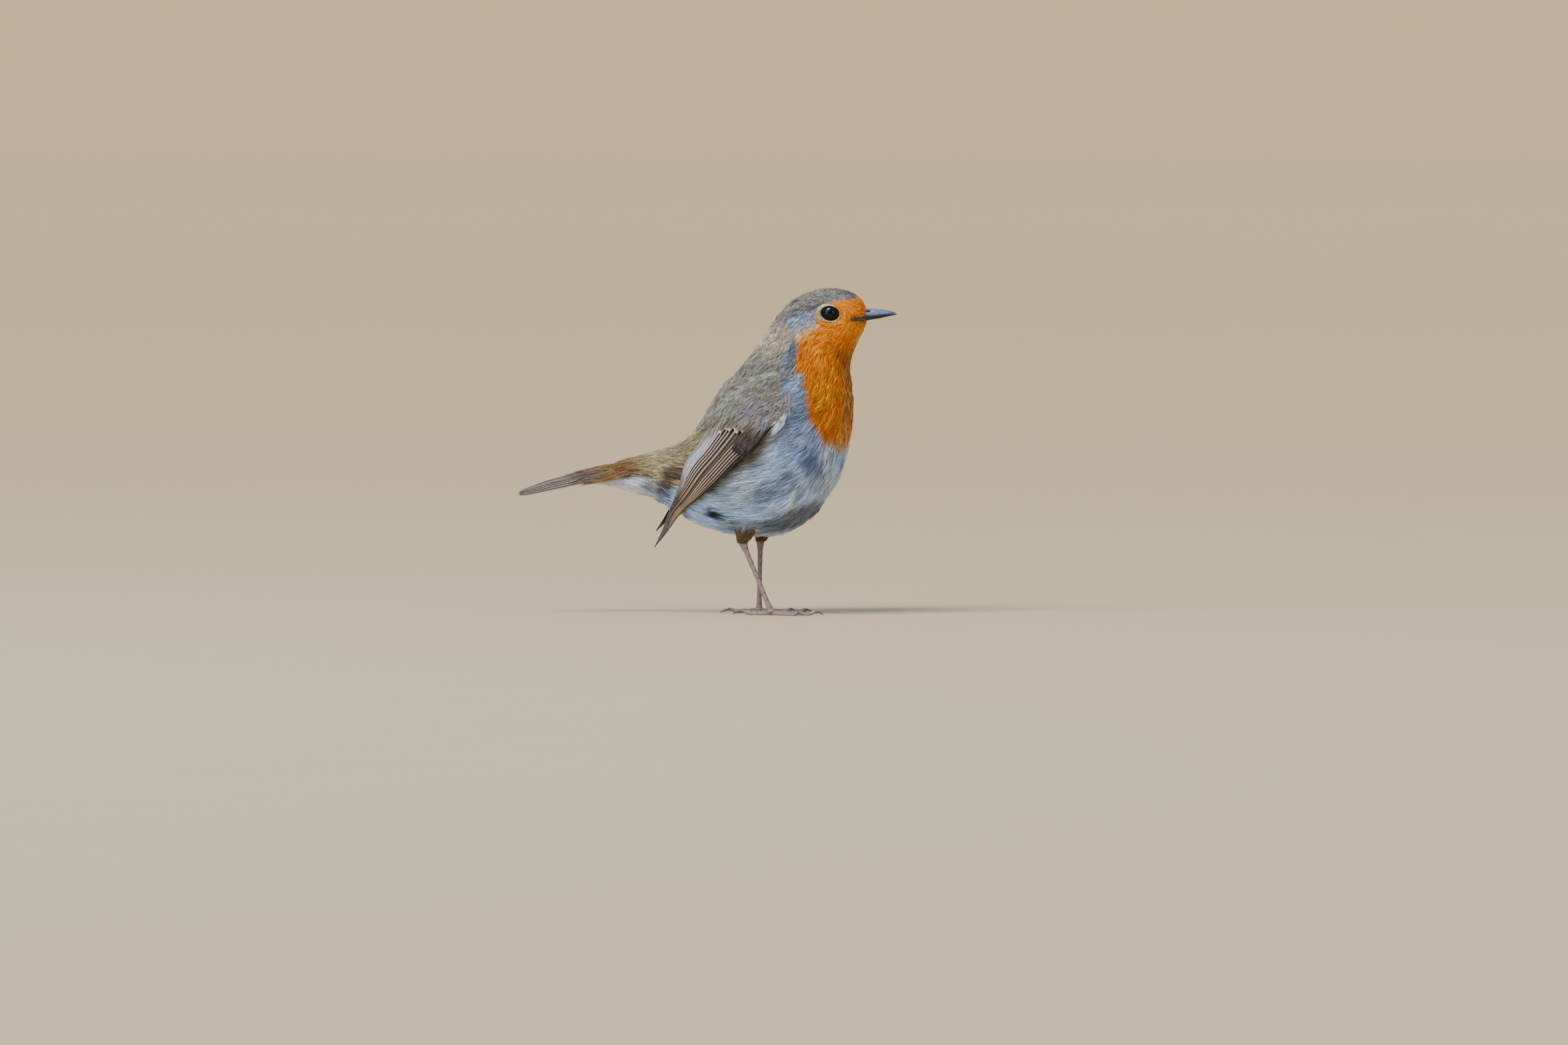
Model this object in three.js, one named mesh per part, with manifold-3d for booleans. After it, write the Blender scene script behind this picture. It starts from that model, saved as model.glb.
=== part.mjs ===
// A life-size European robin, standing upright on both feet with its wings drooped and its tail level.
// Millimetres. +X runs towards the bill, +Y to the bird's left and +Z up. The origin is on the floor,
// halfway between the bill's tip and the tail's tip.
import * as THREE from "three";
import { mergeVertices } from "three/addons/utils/BufferGeometryUtils.js";
import Module from "manifold-3d";

const wasm = await Module();
wasm.setup();

// ---------- driving dimensions ----------
const halfLength = 61.7; // the bill's tip and the tail's tip lie this far from the origin along X
const gap = 0.3; // left between pieces that meet
const ringSides = 26; // points round each section of the body

// The plumage outline in the middle plane. Each station joins a point of the back line to a point of the
// breast line: [back x, back z, breast x, breast z, half width, how far down the section is widest].
const bodyStations = [
  [52.4, 99.4, 52.7, 96.4, 1.2, 0.5], // feathers at the base of the bill
  [51.7, 101.0, 52.5, 95.2, 2.7, 0.5],
  [50.6, 102.9, 51.8, 93.9, 4.6, 0.52], // forehead and chin
  [48.2, 104.6, 51.0, 92.2, 6.4, 0.54],
  [44.6, 105.9, 50.0, 90.2, 7.9, 0.56],
  [40.0, 106.4, 48.9, 87.8, 9.0, 0.58], // crown
  [35.0, 105.5, 47.6, 84.8, 9.9, 0.58], // cheeks
  [30.2, 103.6, 46.8, 81.3, 10.8, 0.57],
  [25.6, 100.2, 46.9, 77.6, 12.3, 0.55], // nape and throat
  [21.1, 94.1, 47.4, 72.8, 15.2, 0.53],
  [16.7, 87.4, 47.7, 67.6, 17.9, 0.52],
  [11.3, 80.4, 47.4, 61.5, 20.0, 0.51], // shoulders and breast
  [5.9, 74.8, 46.1, 54.6, 21.3, 0.5],
  [2.0, 69.1, 43.9, 46.6, 21.8, 0.5],
  [-1.1, 63.9, 39.5, 38.5, 21.4, 0.49], // fullest part of the belly
  [-3.7, 60.0, 33.0, 31.7, 20.1, 0.48],
  [-6.7, 57.0, 24.3, 27.0, 17.9, 0.46],
  [-10.2, 54.8, 11.7, 26.6, 14.8, 0.44], // in front of the vent
  [-13.4, 53.8, -1.3, 29.6, 11.4, 0.42],
  [-16.8, 52.9, -11.1, 34.6, 8.4, 0.42],
  [-21.2, 51.7, -18.2, 38.4, 6.6, 0.44],
  [-26.5, 50.1, -25.2, 40.4, 5.4, 0.46], // tail coverts
  [-31.7, 48.5, -31.3, 41.9, 4.4, 0.48],
  [-36.5, 47.1, -36.4, 42.7, 3.0, 0.5],
];
const lastStation = bodyStations.length - 1;
const neckStart = 7.35; // station where the head ends
const trunkStart = 9.45; // station where the neck ends
const rumpStart = 17.4; // station where the trunk ends

const eye = { x: 41.5, z: 98.4, radius: 3.45, centreY: 5.95, rimX: 3.3, rimZ: 2.75, rimDepth: 1.25 };

// The bill, from the base that the feathers hide to the tip: [x, culmen z, mouth line z, lower edge z, half width].
const billStations = [
  [47.6, 98.2, 96.8, 95.9, 2.3],
  [49.8, 99.4, 97.0, 95.5, 2.5],
  [52.0, 99.75, 97.3, 95.7, 2.1],
  [54.1, 99.75, 97.55, 96.15, 1.7],
  [56.3, 99.65, 97.8, 96.5, 1.35],
  [58.5, 99.4, 98.0, 97.0, 0.95],
  [60.4, 98.95, 98.15, 97.6, 0.52],
  [halfLength, 98.3, 98.12, 98.0, 0.1],
];
const billSides = 6; // faces round each half of the bill
const mouthGap = 0.06; // each half of the bill stays this far from the mouth line

// The folded right wing in side view, from the bend to the tip: [upper x, upper z, lower x, lower z].
const wingStations = [
  [27.4, 79.6, 30.3, 74.6],
  [17.9, 75.6, 27.7, 67.6],
  [9.7, 69.2, 22.8, 60.6],
  [3.4, 62.2, 17.2, 52.8],
  [-1.6, 55.6, 11.2, 46.9],
  [-5.2, 48.6, 4.4, 41.3],
  [-7.9, 41.4, -2.3, 35.9],
  [-11.2, 34.4, -8.0, 31.4],
  [-14.2, 27.8, -12.4, 26.2],
  [-16.3, 22.3, -16.1, 22.1],
];
const wingLift = 1.9; // the wing's face above the plumage under it
const wingThickness = { bend: 1.9, tip: 1.1 };
const wingFree = { start: 0.5, startY: 10.2, tipY: 7.2 }; // where the blade leaves the body, and how far out
const leftTipShift = { x: -1.6, z: 4.8 }; // the left wing's tip is carried higher and further back
const wingCuts = [0.42, 0.7]; // shares of the wing's length where coverts and secondaries end

// The closed tail: [x, top z at the middle, drop of the outer edge, half width, thickness]
const tailStations = [
  [-22.0, 49.9, 2.6, 4.4, 1.5],
  [-30.0, 48.4, 3.0, 5.1, 1.4],
  [-38.0, 46.8, 3.2, 5.9, 1.3],
  [-46.0, 45.0, 3.2, 6.7, 1.2],
  [-53.0, 43.2, 2.8, 7.3, 1.1],
  [-58.5, 41.2, 1.8, 7.3, 0.9],
  [-halfLength, 39.9, 0.5, 6.0, 0.6],
];
const tailMiddle = 0.42; // share of the half width that the middle pair of feathers covers

// The legs: the ankle, the foot's hub and the way that the toes point, in degrees left of straight ahead.
const legs = {
  right: { side: -1, ankle: [12.4, -6.6, 24.0], hub: [22.2, -8.2, 1.1], heading: -4 },
  left: { side: 1, ankle: [16.5, 6.8, 24.2], hub: [16.0, 7.6, 1.1], heading: 6 },
};
const thigh = { rise: 11, lean: 3.2, topRadius: 4.8, ankleRadius: 2.0 };
const tarsus = { topRadius: 1.3, midRadius: 0.82, hubRadius: 1.05, padRadius: 1.4 };
const padPress = 0.8; // a toe's axis lies this share of its radius above the floor
// [name, degrees from the heading towards the outer side, length, root radius, tip radius, claw length]
const toes = [
  ["middle", 2, 13.2, 0.92, 0.62, 4.2],
  ["inner", -27, 9.2, 0.85, 0.6, 3.4],
  ["outer", 26, 9.8, 0.85, 0.6, 3.4],
  ["hind", 178, 7.4, 0.95, 0.7, 5.2],
];

// ---------- colours ----------
const colours = {
  olive: 0x7a705a, orange: 0xd8761a, grey: 0xb9b8b4, white: 0xe4e2dc,
  wing: 0x5d4c3d, tail: 0x6b5039, horn: 0x2e2a2b, skin: 0x6d4a3c, eye: 0x0c0908,
};
const finish = (colour, roughness = 0.85) =>
  new THREE.MeshStandardMaterial({ color: colours[colour], roughness, metalness: 0 });

// ---------- small helpers ----------
const vector = (x, y, z) => new THREE.Vector3(x, y, z);
const mix = THREE.MathUtils.lerp;

// Smooth value of one column of a table of stations, where s runs from 0 to the last row.
function column(table, index, s) {
  const i = Math.min(Math.floor(s), table.length - 2);
  const at = (k) => table[THREE.MathUtils.clamp(k, 0, table.length - 1)][index];
  const f = s - i;
  const [a, b, c, d] = [at(i - 1), at(i), at(i + 1), at(i + 2)];
  const v0 = (c - a) / 2;
  const v1 = (d - b) / 2;
  return ((2 * b - 2 * c + v0 + v1) * f + (-3 * b + 3 * c - 2 * v0 - v1)) * f * f + v0 * f + b;
}

// A closed geometry through rings of points, with a flat cap at each end.
function loft(rings) {
  const sides = rings[0].length;
  const points = rings.flat();
  const middle = (ring) =>
    ring.reduce((sum, p) => sum.add(p), vector(0, 0, 0)).divideScalar(ring.length);
  points.push(middle(rings[0]), middle(rings.at(-1)));
  const [firstCap, lastCap] = [points.length - 2, points.length - 1];
  const index = [];
  for (let k = 0; k < sides; k++) {
    const next = (k + 1) % sides;
    for (let r = 0; r < rings.length - 1; r++) {
      const [a, b] = [r * sides + k, r * sides + next];
      index.push(a, b, b + sides, a, b + sides, a + sides);
    }
    const end = (rings.length - 1) * sides;
    index.push(firstCap, next, k, lastCap, end + k, end + next);
  }
  const geometry = new THREE.BufferGeometry().setFromPoints(points);
  geometry.setIndex(index);
  return geometry;
}

// A closed geometry as a solid, turned so that its faces point out.
function solid(geometry) {
  const bare = geometry.clone();
  bare.deleteAttribute("normal");
  bare.deleteAttribute("uv");
  const merged = mergeVertices(bare, 1e-4);
  const build = (triVerts) =>
    new wasm.Manifold(
      new wasm.Mesh({ numProp: 3, vertProperties: merged.attributes.position.array, triVerts }),
    );
  const faces = new Uint32Array(merged.index.array);
  const made = build(faces);
  if (made.volume() > 0) return made;
  for (let i = 0; i < faces.length; i += 3) [faces[i], faces[i + 1]] = [faces[i + 1], faces[i]];
  return build(faces);
}

// The largest body of a solid, without the slivers that a cut can leave.
function largest(cutSolid) {
  const bodies = cutSolid.decompose();
  return bodies.reduce((best, b) => (b.volume() > best.volume() ? b : best));
}

const group = new THREE.Group();

function addNode(name, madeSolid, material) {
  const { vertProperties, triVerts } = largest(madeSolid).getMesh();
  const geometry = new THREE.BufferGeometry();
  geometry.setAttribute("position", new THREE.BufferAttribute(new Float32Array(vertProperties), 3));
  geometry.setIndex(new THREE.BufferAttribute(new Uint32Array(triVerts), 1));
  geometry.computeVertexNormals();
  const mesh = new THREE.Mesh(geometry, material);
  mesh.name = name;
  group.add(mesh);
}

// ---------- head, neck, trunk and rump: one plumage form, parted by thin cuts ----------

// The section at a station, grown outwards by some millimetres.
function bodySection(s, grow = 0) {
  const [bx, bz, vx, vz, halfWidth, widest] = [0, 1, 2, 3, 4, 5].map((c) => column(bodyStations, c, s));
  const down = new THREE.Vector2(vx - bx, vz - bz);
  const height = down.length();
  down.normalize();
  return { back: [bx - down.x * grow, bz - down.y * grow], down, height: height + 2 * grow,
    halfWidth: halfWidth + grow, widest };
}

function bodyRing(s, grow) {
  const { back, down, height, halfWidth, widest } = bodySection(s, grow);
  return Array.from({ length: ringSides }, (_, k) => {
    const angle = (k / ringSides) * 2 * Math.PI;
    const c = Math.cos(angle);
    const along = height * (c > 0 ? widest * (1 - c) : widest - (1 - widest) * c);
    return vector(back[0] + down.x * along, halfWidth * Math.sin(angle), back[1] + down.y * along);
  });
}

function bodyPart(from, to, grow = 0) {
  const steps = Math.max(2, Math.round((to - from) * 1.45));
  const rings = [];
  for (let k = 0; k <= steps; k++) rings.push(bodyRing(mix(from, to, k / steps), grow));
  return solid(loft(rings));
}

const cut = 0.035; // half of a thin cut, in stations
const plumage = (grow) => bodyPart(0, lastStation, grow);
const grownPlumage = plumage(gap);

// How far out the plumage reaches at a place in side view, or 0 outside its outline.
function plumageY(x, z) {
  const side = (s) => {
    const { back, down } = bodySection(s);
    return down.x * (z - back[1]) - down.y * (x - back[0]);
  };
  let [low, high] = [4, lastStation];
  for (let k = 0; k < 40; k++) {
    const middle = (low + high) / 2;
    if (side(middle) > 0) high = middle;
    else low = middle;
  }
  const { back, down, height, halfWidth, widest } = bodySection(low);
  const share = ((x - back[0]) * down.x + (z - back[1]) * down.y) / height;
  if (share <= 0 || share >= 1 || low > lastStation - 0.01) return 0;
  const c = share < widest ? 1 - share / widest : (share - widest) / (1 - widest);
  return halfWidth * Math.sqrt(1 - c * c);
}

function ball(radius, x, y, z, detail = [14, 8]) {
  return solid(new THREE.SphereGeometry(radius, ...detail).rotateX(Math.PI / 2).translate(x, y, z));
}

// ---------- bill ----------

// One half of the bill: its outer line is column edge, and it closes at the mouth line.
function billHalf(edge, way, grow = 0) {
  const mouthColumn = 2;
  const steps = 10;
  const rings = [];
  for (let k = 0; k <= steps; k++) {
    const s = (k / steps) * (billStations.length - 1);
    const x = column(billStations, 0, s) + (k === steps ? grow : 0);
    const mouth = column(billStations, mouthColumn, s) + way * (mouthGap - grow);
    const reach = Math.max(0.08, way * (column(billStations, edge, s) - mouth)) + grow;
    const halfWidth = column(billStations, 4, s) + grow;
    const ring = [];
    for (let a = 0; a <= billSides; a++) {
      const angle = (a / billSides) * Math.PI;
      const up = Math.pow(Math.sin(angle), 0.85);
      ring.push(vector(x, halfWidth * Math.cos(angle), mouth + way * reach * up));
    }
    rings.push(ring);
  }
  return solid(loft(rings));
}
const upperBill = billHalf(1, 1);
const lowerBill = billHalf(3, -1);
addNode("bill_upper", upperBill, finish("horn", 0.35));
addNode("bill_lower", lowerBill, finish("horn", 0.35));
const billRecess = billHalf(1, 1, gap).add(billHalf(3, -1, gap));

// ---------- head with its eye sockets ----------
let head = bodyPart(0, neckStart - cut).subtract(billRecess);
for (const side of [-1, 1]) {
  const socket = ball(eye.radius + gap, eye.x, side * eye.centreY, eye.z);
  const rimY = side * plumageY(eye.x, eye.z);
  const rim = new THREE.SphereGeometry(1, 12, 6).scale(eye.rimX, eye.rimDepth, eye.rimZ);
  head = head.subtract(socket).subtract(solid(rim.translate(eye.x, rimY, eye.z)));
  addNode(side < 0 ? "eye_right" : "eye_left",
    ball(eye.radius, eye.x, side * eye.centreY, eye.z), finish("eye", 0.1));
}
addNode("head", head, finish("orange"));
addNode("neck", bodyPart(neckStart + cut, trunkStart - cut), finish("orange"));
addNode("trunk", bodyPart(trunkStart + cut, rumpStart - cut), finish("grey"));
addNode("rump", bodyPart(rumpStart + cut, lastStation), finish("white"));

// ---------- wings: shells that lie on the flanks and end in a free blade ----------
function wingSurface(side, share, across, depth) {
  const s = share * (wingStations.length - 1);
  const [ux, uz, lx, lz] = [0, 1, 2, 3].map((c) => column(wingStations, c, s));
  const [x, z] = [mix(ux, lx, across), mix(uz, lz, across)];
  const free = THREE.MathUtils.smoothstep(share, wingFree.start, 1);
  const thickness = mix(wingThickness.bend, wingThickness.tip, share);
  const freeY = mix(wingFree.startY, wingFree.tipY, free);
  const onBody = plumageY(x, z) + wingLift * (1 - 0.35 * share);
  const spread = onBody - freeY;
  const softness = 1.5;
  const y = freeY + (spread + Math.sqrt(spread * spread + softness)) / 2;
  const edge = Math.pow(Math.abs(2 * across - 1), 4);
  const rounding = edge * thickness * 0.45 * (1 - 2 * depth);
  const shift = side > 0 ? share * share : 0;
  const outward = side * (y - depth * thickness - rounding);
  return vector(x + leftTipShift.x * shift, outward, z + leftTipShift.z * shift);
}

function wingPart(side, from, to) {
  const steps = Math.max(4, Math.round((to - from) * 20));
  const columns = 7;
  const rings = [];
  for (let k = 0; k <= steps; k++) {
    const share = mix(from, to, k / steps);
    const outer = [];
    const inner = [];
    for (let a = 0; a < columns; a++) {
      outer.push(wingSurface(side, share, a / (columns - 1), 0));
      inner.push(wingSurface(side, share, a / (columns - 1), 1));
    }
    rings.push([...outer, ...inner.reverse()]);
  }
  return solid(loft(rings)).subtract(grownPlumage);
}

const wingNames = ["wing_coverts", "wing_secondaries", "wing_primaries"];
const wingCut = 0.0025;
for (const [label, side] of [["right", -1], ["left", 1]]) {
  const edges = [0, ...wingCuts, 1];
  wingNames.forEach((name, k) => {
    const from = edges[k] + (k ? wingCut : 0);
    const to = edges[k + 1] - (k < 2 ? wingCut : 0);
    addNode(`${name}_${label}`, wingPart(side, from, to), finish(k ? "wing" : "olive"));
  });
}

// ---------- tail: a closed fan, highest in the middle ----------
function tailPoint(s, across, depth) {
  const [x, top, drop, halfWidth, thickness] = [0, 1, 2, 3, 4].map((c) => column(tailStations, c, s));
  const fall = drop * Math.pow(Math.abs(across), 1.6);
  return vector(x, across * halfWidth, top - fall - depth * thickness);
}

function tailPart(from, to) {
  const rings = [];
  const [rows, columns] = [10, 4];
  for (let k = 0; k <= rows; k++) {
    const s = (k / rows) * (tailStations.length - 1);
    const upper = [];
    const lower = [];
    for (let a = 0; a <= columns; a++) {
      upper.push(tailPoint(s, mix(from, to, a / columns), 0));
      lower.push(tailPoint(s, mix(from, to, a / columns), 1));
    }
    rings.push([...upper, ...lower.reverse()]);
  }
  return solid(loft(rings)).subtract(grownPlumage);
}
const tailSlit = 0.03; // half of the slit between the middle and outer feathers, as a share
addNode("tail_middle", tailPart(-tailMiddle + tailSlit, tailMiddle - tailSlit), finish("tail"));
addNode("tail_outer_right", tailPart(-1, -tailMiddle - tailSlit), finish("tail"));
addNode("tail_outer_left", tailPart(tailMiddle + tailSlit, 1), finish("tail"));

// ---------- legs ----------

// A limb of round sections along a curve, where radiusAt takes the share of its length.
function limb(points, radiusAt, steps = 12, sides = 12, sideways = 1) {
  const curve = new THREE.CatmullRomCurve3(points);
  const rings = [];
  for (let k = 0; k <= steps; k++) {
    const at = curve.getPoint(k / steps);
    const tangent = curve.getTangent(k / steps);
    const across = vector(-tangent.y, tangent.x, 0);
    if (across.length() < 0.3) across.set(0, 1, 0);
    across.addScaledVector(tangent, -across.dot(tangent)).normalize();
    const up = new THREE.Vector3().crossVectors(tangent, across);
    const radius = radiusAt(k / steps);
    rings.push(Array.from({ length: sides }, (_, j) => {
      const angle = (j / sides) * 2 * Math.PI;
      return at.clone()
        .addScaledVector(across, radius * sideways * Math.cos(angle))
        .addScaledVector(up, radius * Math.sin(angle));
    }));
  }
  return solid(loft(rings));
}

const floorReach = 200;
const belowFloor = solid(
  new THREE.BoxGeometry(floorReach, floorReach, floorReach).translate(0, 0, -floorReach / 2),
);

function toeDirection(leg, degrees) {
  const angle = THREE.MathUtils.degToRad(leg.heading + leg.side * degrees);
  return vector(Math.cos(angle), Math.sin(angle), 0);
}

// A toe: it leaves the hub, comes down to the floor and lies on its pads.
function toeSolid(leg, [, degrees, length, rootRadius, tipRadius], grow = 0) {
  const way = toeDirection(leg, degrees);
  const hub = vector(...leg.hub);
  const points = [0.05, 0.35, 0.7, 1].map((share) =>
    hub.clone().addScaledVector(way, share * length).setZ(padPress * mix(rootRadius, tipRadius, share)));
  const pads = 3;
  const radiusAt = (f) =>
    mix(rootRadius, tipRadius, f) * (1 + 0.1 * Math.cos(f * pads * 2 * Math.PI)) + grow;
  return limb(points, radiusAt, 9, 8);
}

function clawSolid(leg, [, degrees, length, , tipRadius, clawLength]) {
  const way = toeDirection(leg, degrees);
  const root = vector(...leg.hub).addScaledVector(way, length + gap);
  const arch = 0.11 * clawLength;
  const points = [
    root.clone().setZ(0.75),
    root.clone().addScaledVector(way, 0.45 * clawLength).setZ(0.75 + arch),
    root.clone().addScaledVector(way, 0.8 * clawLength).setZ(0.7),
    root.clone().addScaledVector(way, clawLength).setZ(0.2),
  ];
  return limb(points, (f) => mix(tipRadius * 0.85, 0.12, f), 6, 6, 0.75);
}

for (const [label, leg] of Object.entries(legs)) {
  const ankle = vector(...leg.ankle);
  const hub = vector(...leg.hub);
  const thighTop = ankle.clone().add(vector(thigh.lean, 0, thigh.rise));
  const thighEnd = ankle.clone().add(vector(0.1, 0, 1.2));
  const feathered = (grow) =>
    limb([thighTop, thighTop.clone().lerp(thighEnd, 0.5), thighEnd.clone().setZ(thighEnd.z - grow)],
      (f) => mix(thigh.topRadius, thigh.ankleRadius, Math.sqrt(f)) + grow, 8, 14);
  addNode(`thigh_${label}`, feathered(0).subtract(grownPlumage), finish("olive"));

  const shaftTop = ankle.clone().add(vector(0, 0, 1.2));
  const shaftRadius = (f) => {
    const knob = mix(tarsus.topRadius, tarsus.midRadius, THREE.MathUtils.smoothstep(f, 0.02, 0.3));
    return mix(knob, tarsus.hubRadius, THREE.MathUtils.smoothstep(f, 0.8, 1));
  };
  const shaft = limb([shaftTop, ankle.clone().lerp(hub, 0.35), ankle.clone().lerp(hub, 0.7), hub],
    shaftRadius, 10, 8, 0.8);
  const sole = ball(tarsus.padRadius, ...leg.hub, [10, 6]).subtract(belowFloor);
  addNode(`tarsus_${label}`, shaft.subtract(feathered(gap)).subtract(belowFloor).add(sole), finish("skin", 0.6));
  const soleClearance = ball(tarsus.padRadius + gap, ...leg.hub, [10, 6]);

  const blockers = [soleClearance];
  for (const toe of toes) {
    const whole = toeSolid(leg, toe).subtract(belowFloor);
    const freed = blockers.reduce((left, blocker) => left.subtract(blocker), whole);
    addNode(`toe_${toe[0]}_${label}`, freed, finish("skin", 0.6));
    addNode(`claw_${toe[0]}_${label}`, clawSolid(leg, toe), finish("horn", 0.4));
    blockers.push(toeSolid(leg, toe, gap));
  }
}

export default group;
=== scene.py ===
# A European robin, life size, as a still museum model. It is dressed feather by feather over one skin.
# Settings are in millimetres in the shared frame: +X to the bill, +Y to the bird's left, +Z up.
import math

import bpy
import numpy as np
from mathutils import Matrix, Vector


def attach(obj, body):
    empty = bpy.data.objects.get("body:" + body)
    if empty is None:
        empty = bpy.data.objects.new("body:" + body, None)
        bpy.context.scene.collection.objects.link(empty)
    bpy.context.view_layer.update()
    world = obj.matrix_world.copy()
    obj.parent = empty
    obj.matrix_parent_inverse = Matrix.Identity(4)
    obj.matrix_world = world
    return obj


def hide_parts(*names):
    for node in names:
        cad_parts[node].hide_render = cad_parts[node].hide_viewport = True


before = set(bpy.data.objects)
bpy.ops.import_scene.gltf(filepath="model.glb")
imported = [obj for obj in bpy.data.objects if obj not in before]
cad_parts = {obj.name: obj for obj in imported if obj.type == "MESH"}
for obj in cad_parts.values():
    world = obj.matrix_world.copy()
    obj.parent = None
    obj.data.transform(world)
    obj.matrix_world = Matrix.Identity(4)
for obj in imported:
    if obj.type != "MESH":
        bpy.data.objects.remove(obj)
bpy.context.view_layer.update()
millimetre = 0.001
random = np.random.default_rng(20)


def ease(low, high, value):
    f = np.clip((value - low) / (high - low), 0, 1)
    return f * f * (3 - 2 * f)


def mix(a, b, f):
    return a + (b - a) * f


def column(stations, index, s):
    # smooth value of one column of a table of stations, for an array of places s
    rows = np.array(stations, dtype=float)[:, index]
    i = np.clip(np.floor(s).astype(int), 0, len(rows) - 2)
    f = s - i
    a, b, c, d = (rows[np.clip(i + k, 0, len(rows) - 1)] for k in (-1, 0, 1, 2))
    start, end = (c - a) / 2, (d - b) / 2
    return ((2 * b - 2 * c + start + end) * f + (-3 * b + 3 * c - 2 * start - end)) * f * f + start * f + b


def turns(count):
    # angles evenly round a circle
    return np.arange(count) / count * 2 * math.pi


def linear(hexColour):
    # sRGB hex to linear light
    value = int(hexColour.lstrip("#"), 16)
    parts = np.array([value >> 16, value >> 8 & 255, value & 255]) / 255
    return np.where(parts <= 0.04045, parts / 12.92, ((parts + 0.055) / 1.055) ** 2.4)


view = {
    "turn": 8.0,  # degrees ahead of square-on to the bird's right side
    "rise": 2.0,
    "distance": 7100.0,
    "lens": 500.0,
    "sensor": 36.0,
    "aimAcross": 25.0,  # the middle of the picture, from the origin
    "aimUp": 29.8,
}


def makeCamera():
    turn, rise = math.radians(view["turn"]), math.radians(view["rise"])
    back = np.array([math.sin(turn) * math.cos(rise), -math.cos(turn) * math.cos(rise), math.sin(rise)])
    right = np.array([math.cos(turn), math.sin(turn), 0])
    up = np.cross(back, right)
    place = right * view["aimAcross"] + up * view["aimUp"] + back * view["distance"]
    data = bpy.data.cameras.new("portrait")
    data.lens = view["lens"]
    data.sensor_width = view["sensor"]
    data.clip_end = 60
    camera = bpy.data.objects.new("portrait", data)
    camera.location = place * millimetre
    camera.rotation_euler = (math.pi / 2 - rise, 0, turn)
    bpy.context.scene.collection.objects.link(camera)
    bpy.context.scene.camera = camera


studio = {
    "floorRings": [600, 2500, 5000],
    "floorRadius": 8300.0,
    "sweepRadius": 3000.0,  # the floor sweeps up into an even wall all round
    "sides": 96,
    "floorColour": "#bfab81",
    "skyColour": "#c9d9f4",
    "skyStrength": 0.86,
    "sunColour": "#fff0da",
    "sunFrom": (-0.42, -0.62, 1.0),
    "sunStrength": 3.77,
    "sunAngle": 32.0,  # wide, for soft shadows
    "paintLevel": 0.85,  # all tints are darker by this, to suit the strong light
    # name, place, aim, size, power in watts, colour
    "softBoxes": [
        ("window", (-530, -600, 1100), (40, -8, 98), 120, 1.6, "#ffffff"),
        ("blueSky", (-700, -1500, 2100), (10, 0, 60), 1900, 22.0, "#7fb2ff"),
        ("lowFill", (-1950, -2250, 800), (0, 0, 50), 2200, 56.0, "#b4d0ff"),
        ("frontFill", (1900, -2300, 700), (0, 0, 50), 2200, 22.0, "#c8dcff"),
        ("blueSide", (-930, -830, 890), (40, -8, 98), 700, 7.0, "#6ea6ff"),
    ],
}


def aimFrom(thing, place, aim):
    thing.location = Vector(place) * millimetre
    thing.rotation_euler = (Vector(aim) - Vector(place)).to_track_quat("-Z", "Y").to_euler()


def makeStudio():
    scene = bpy.context.scene
    world = bpy.data.worlds.new("softSky")
    world.use_nodes = True
    sky = world.node_tree.nodes["Background"]
    sky.inputs["Color"].default_value = (*linear(studio["skyColour"]), 1)
    sky.inputs["Strength"].default_value = studio["skyStrength"]
    scene.world = world
    sun = bpy.data.lights.new("softSun", "SUN")
    sun.energy = studio["sunStrength"]
    sun.angle = math.radians(studio["sunAngle"])
    sun.color = linear(studio["sunColour"])
    lamp = bpy.data.objects.new("softSun", sun)
    aimFrom(lamp, studio["sunFrom"], (0, 0, 0))
    scene.collection.objects.link(lamp)
    for name, place, aim, size, power, colour in studio["softBoxes"]:
        data = bpy.data.lights.new(name, "AREA")
        data.size = size * millimetre
        data.energy = power
        data.color = linear(colour)
        lamp = bpy.data.objects.new(name, data)
        aimFrom(lamp, place, aim)
        scene.collection.objects.link(lamp)
    sides = studio["sides"]
    sweep = np.linspace(0, math.pi / 2, 24)
    wall = studio["floorRadius"] + studio["sweepRadius"] * np.sin(sweep)
    radius = np.concatenate([studio["floorRings"], wall])[:, None]
    height = np.concatenate([[0, 0, 0], studio["sweepRadius"] * (1 - np.cos(sweep))])[:, None]
    turn = turns(sides)
    rings = np.stack([radius * np.cos(turn), radius * np.sin(turn), height + 0 * turn], -1)
    points = np.concatenate([rings.reshape(-1, 3), [[0, 0, 0]]]) * millimetre
    middle = [(len(points) - 1, k, (k + 1) % sides) for k in range(sides)]
    mesh = bpy.data.meshes.new("floor")
    mesh.from_pydata(points.tolist(), [], middle + ringFaces(len(radius), sides)[:, ::-1].tolist())
    mesh.polygons.foreach_set("use_smooth", [True] * len(mesh.polygons))
    floor = bpy.data.objects.new("floor", mesh)
    scene.collection.objects.link(floor)
    floor.data.materials.append(makeFloorPaint())


def addNode(tree, kind, links=None, **settings):
    # adds a node, with settings by property or input name, and links as {input: output socket}
    node = tree.nodes.new(kind)
    for key, value in settings.items():
        if hasattr(node, key):
            setattr(node, key, value)
        else:
            node.inputs[key.replace("_", " ")].default_value = value
    for key, source in (links or {}).items():
        tree.links.new(source, node.inputs[key])
    return node


def newMaterial(name):
    material = bpy.data.materials.new(name)
    material.use_nodes = True
    tree = material.node_tree
    return material, tree, tree.nodes["Principled BSDF"]


def setSockets(shader, **values):
    for key, value in values.items():
        shader.inputs[key.replace("_", " ")].default_value = value


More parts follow.
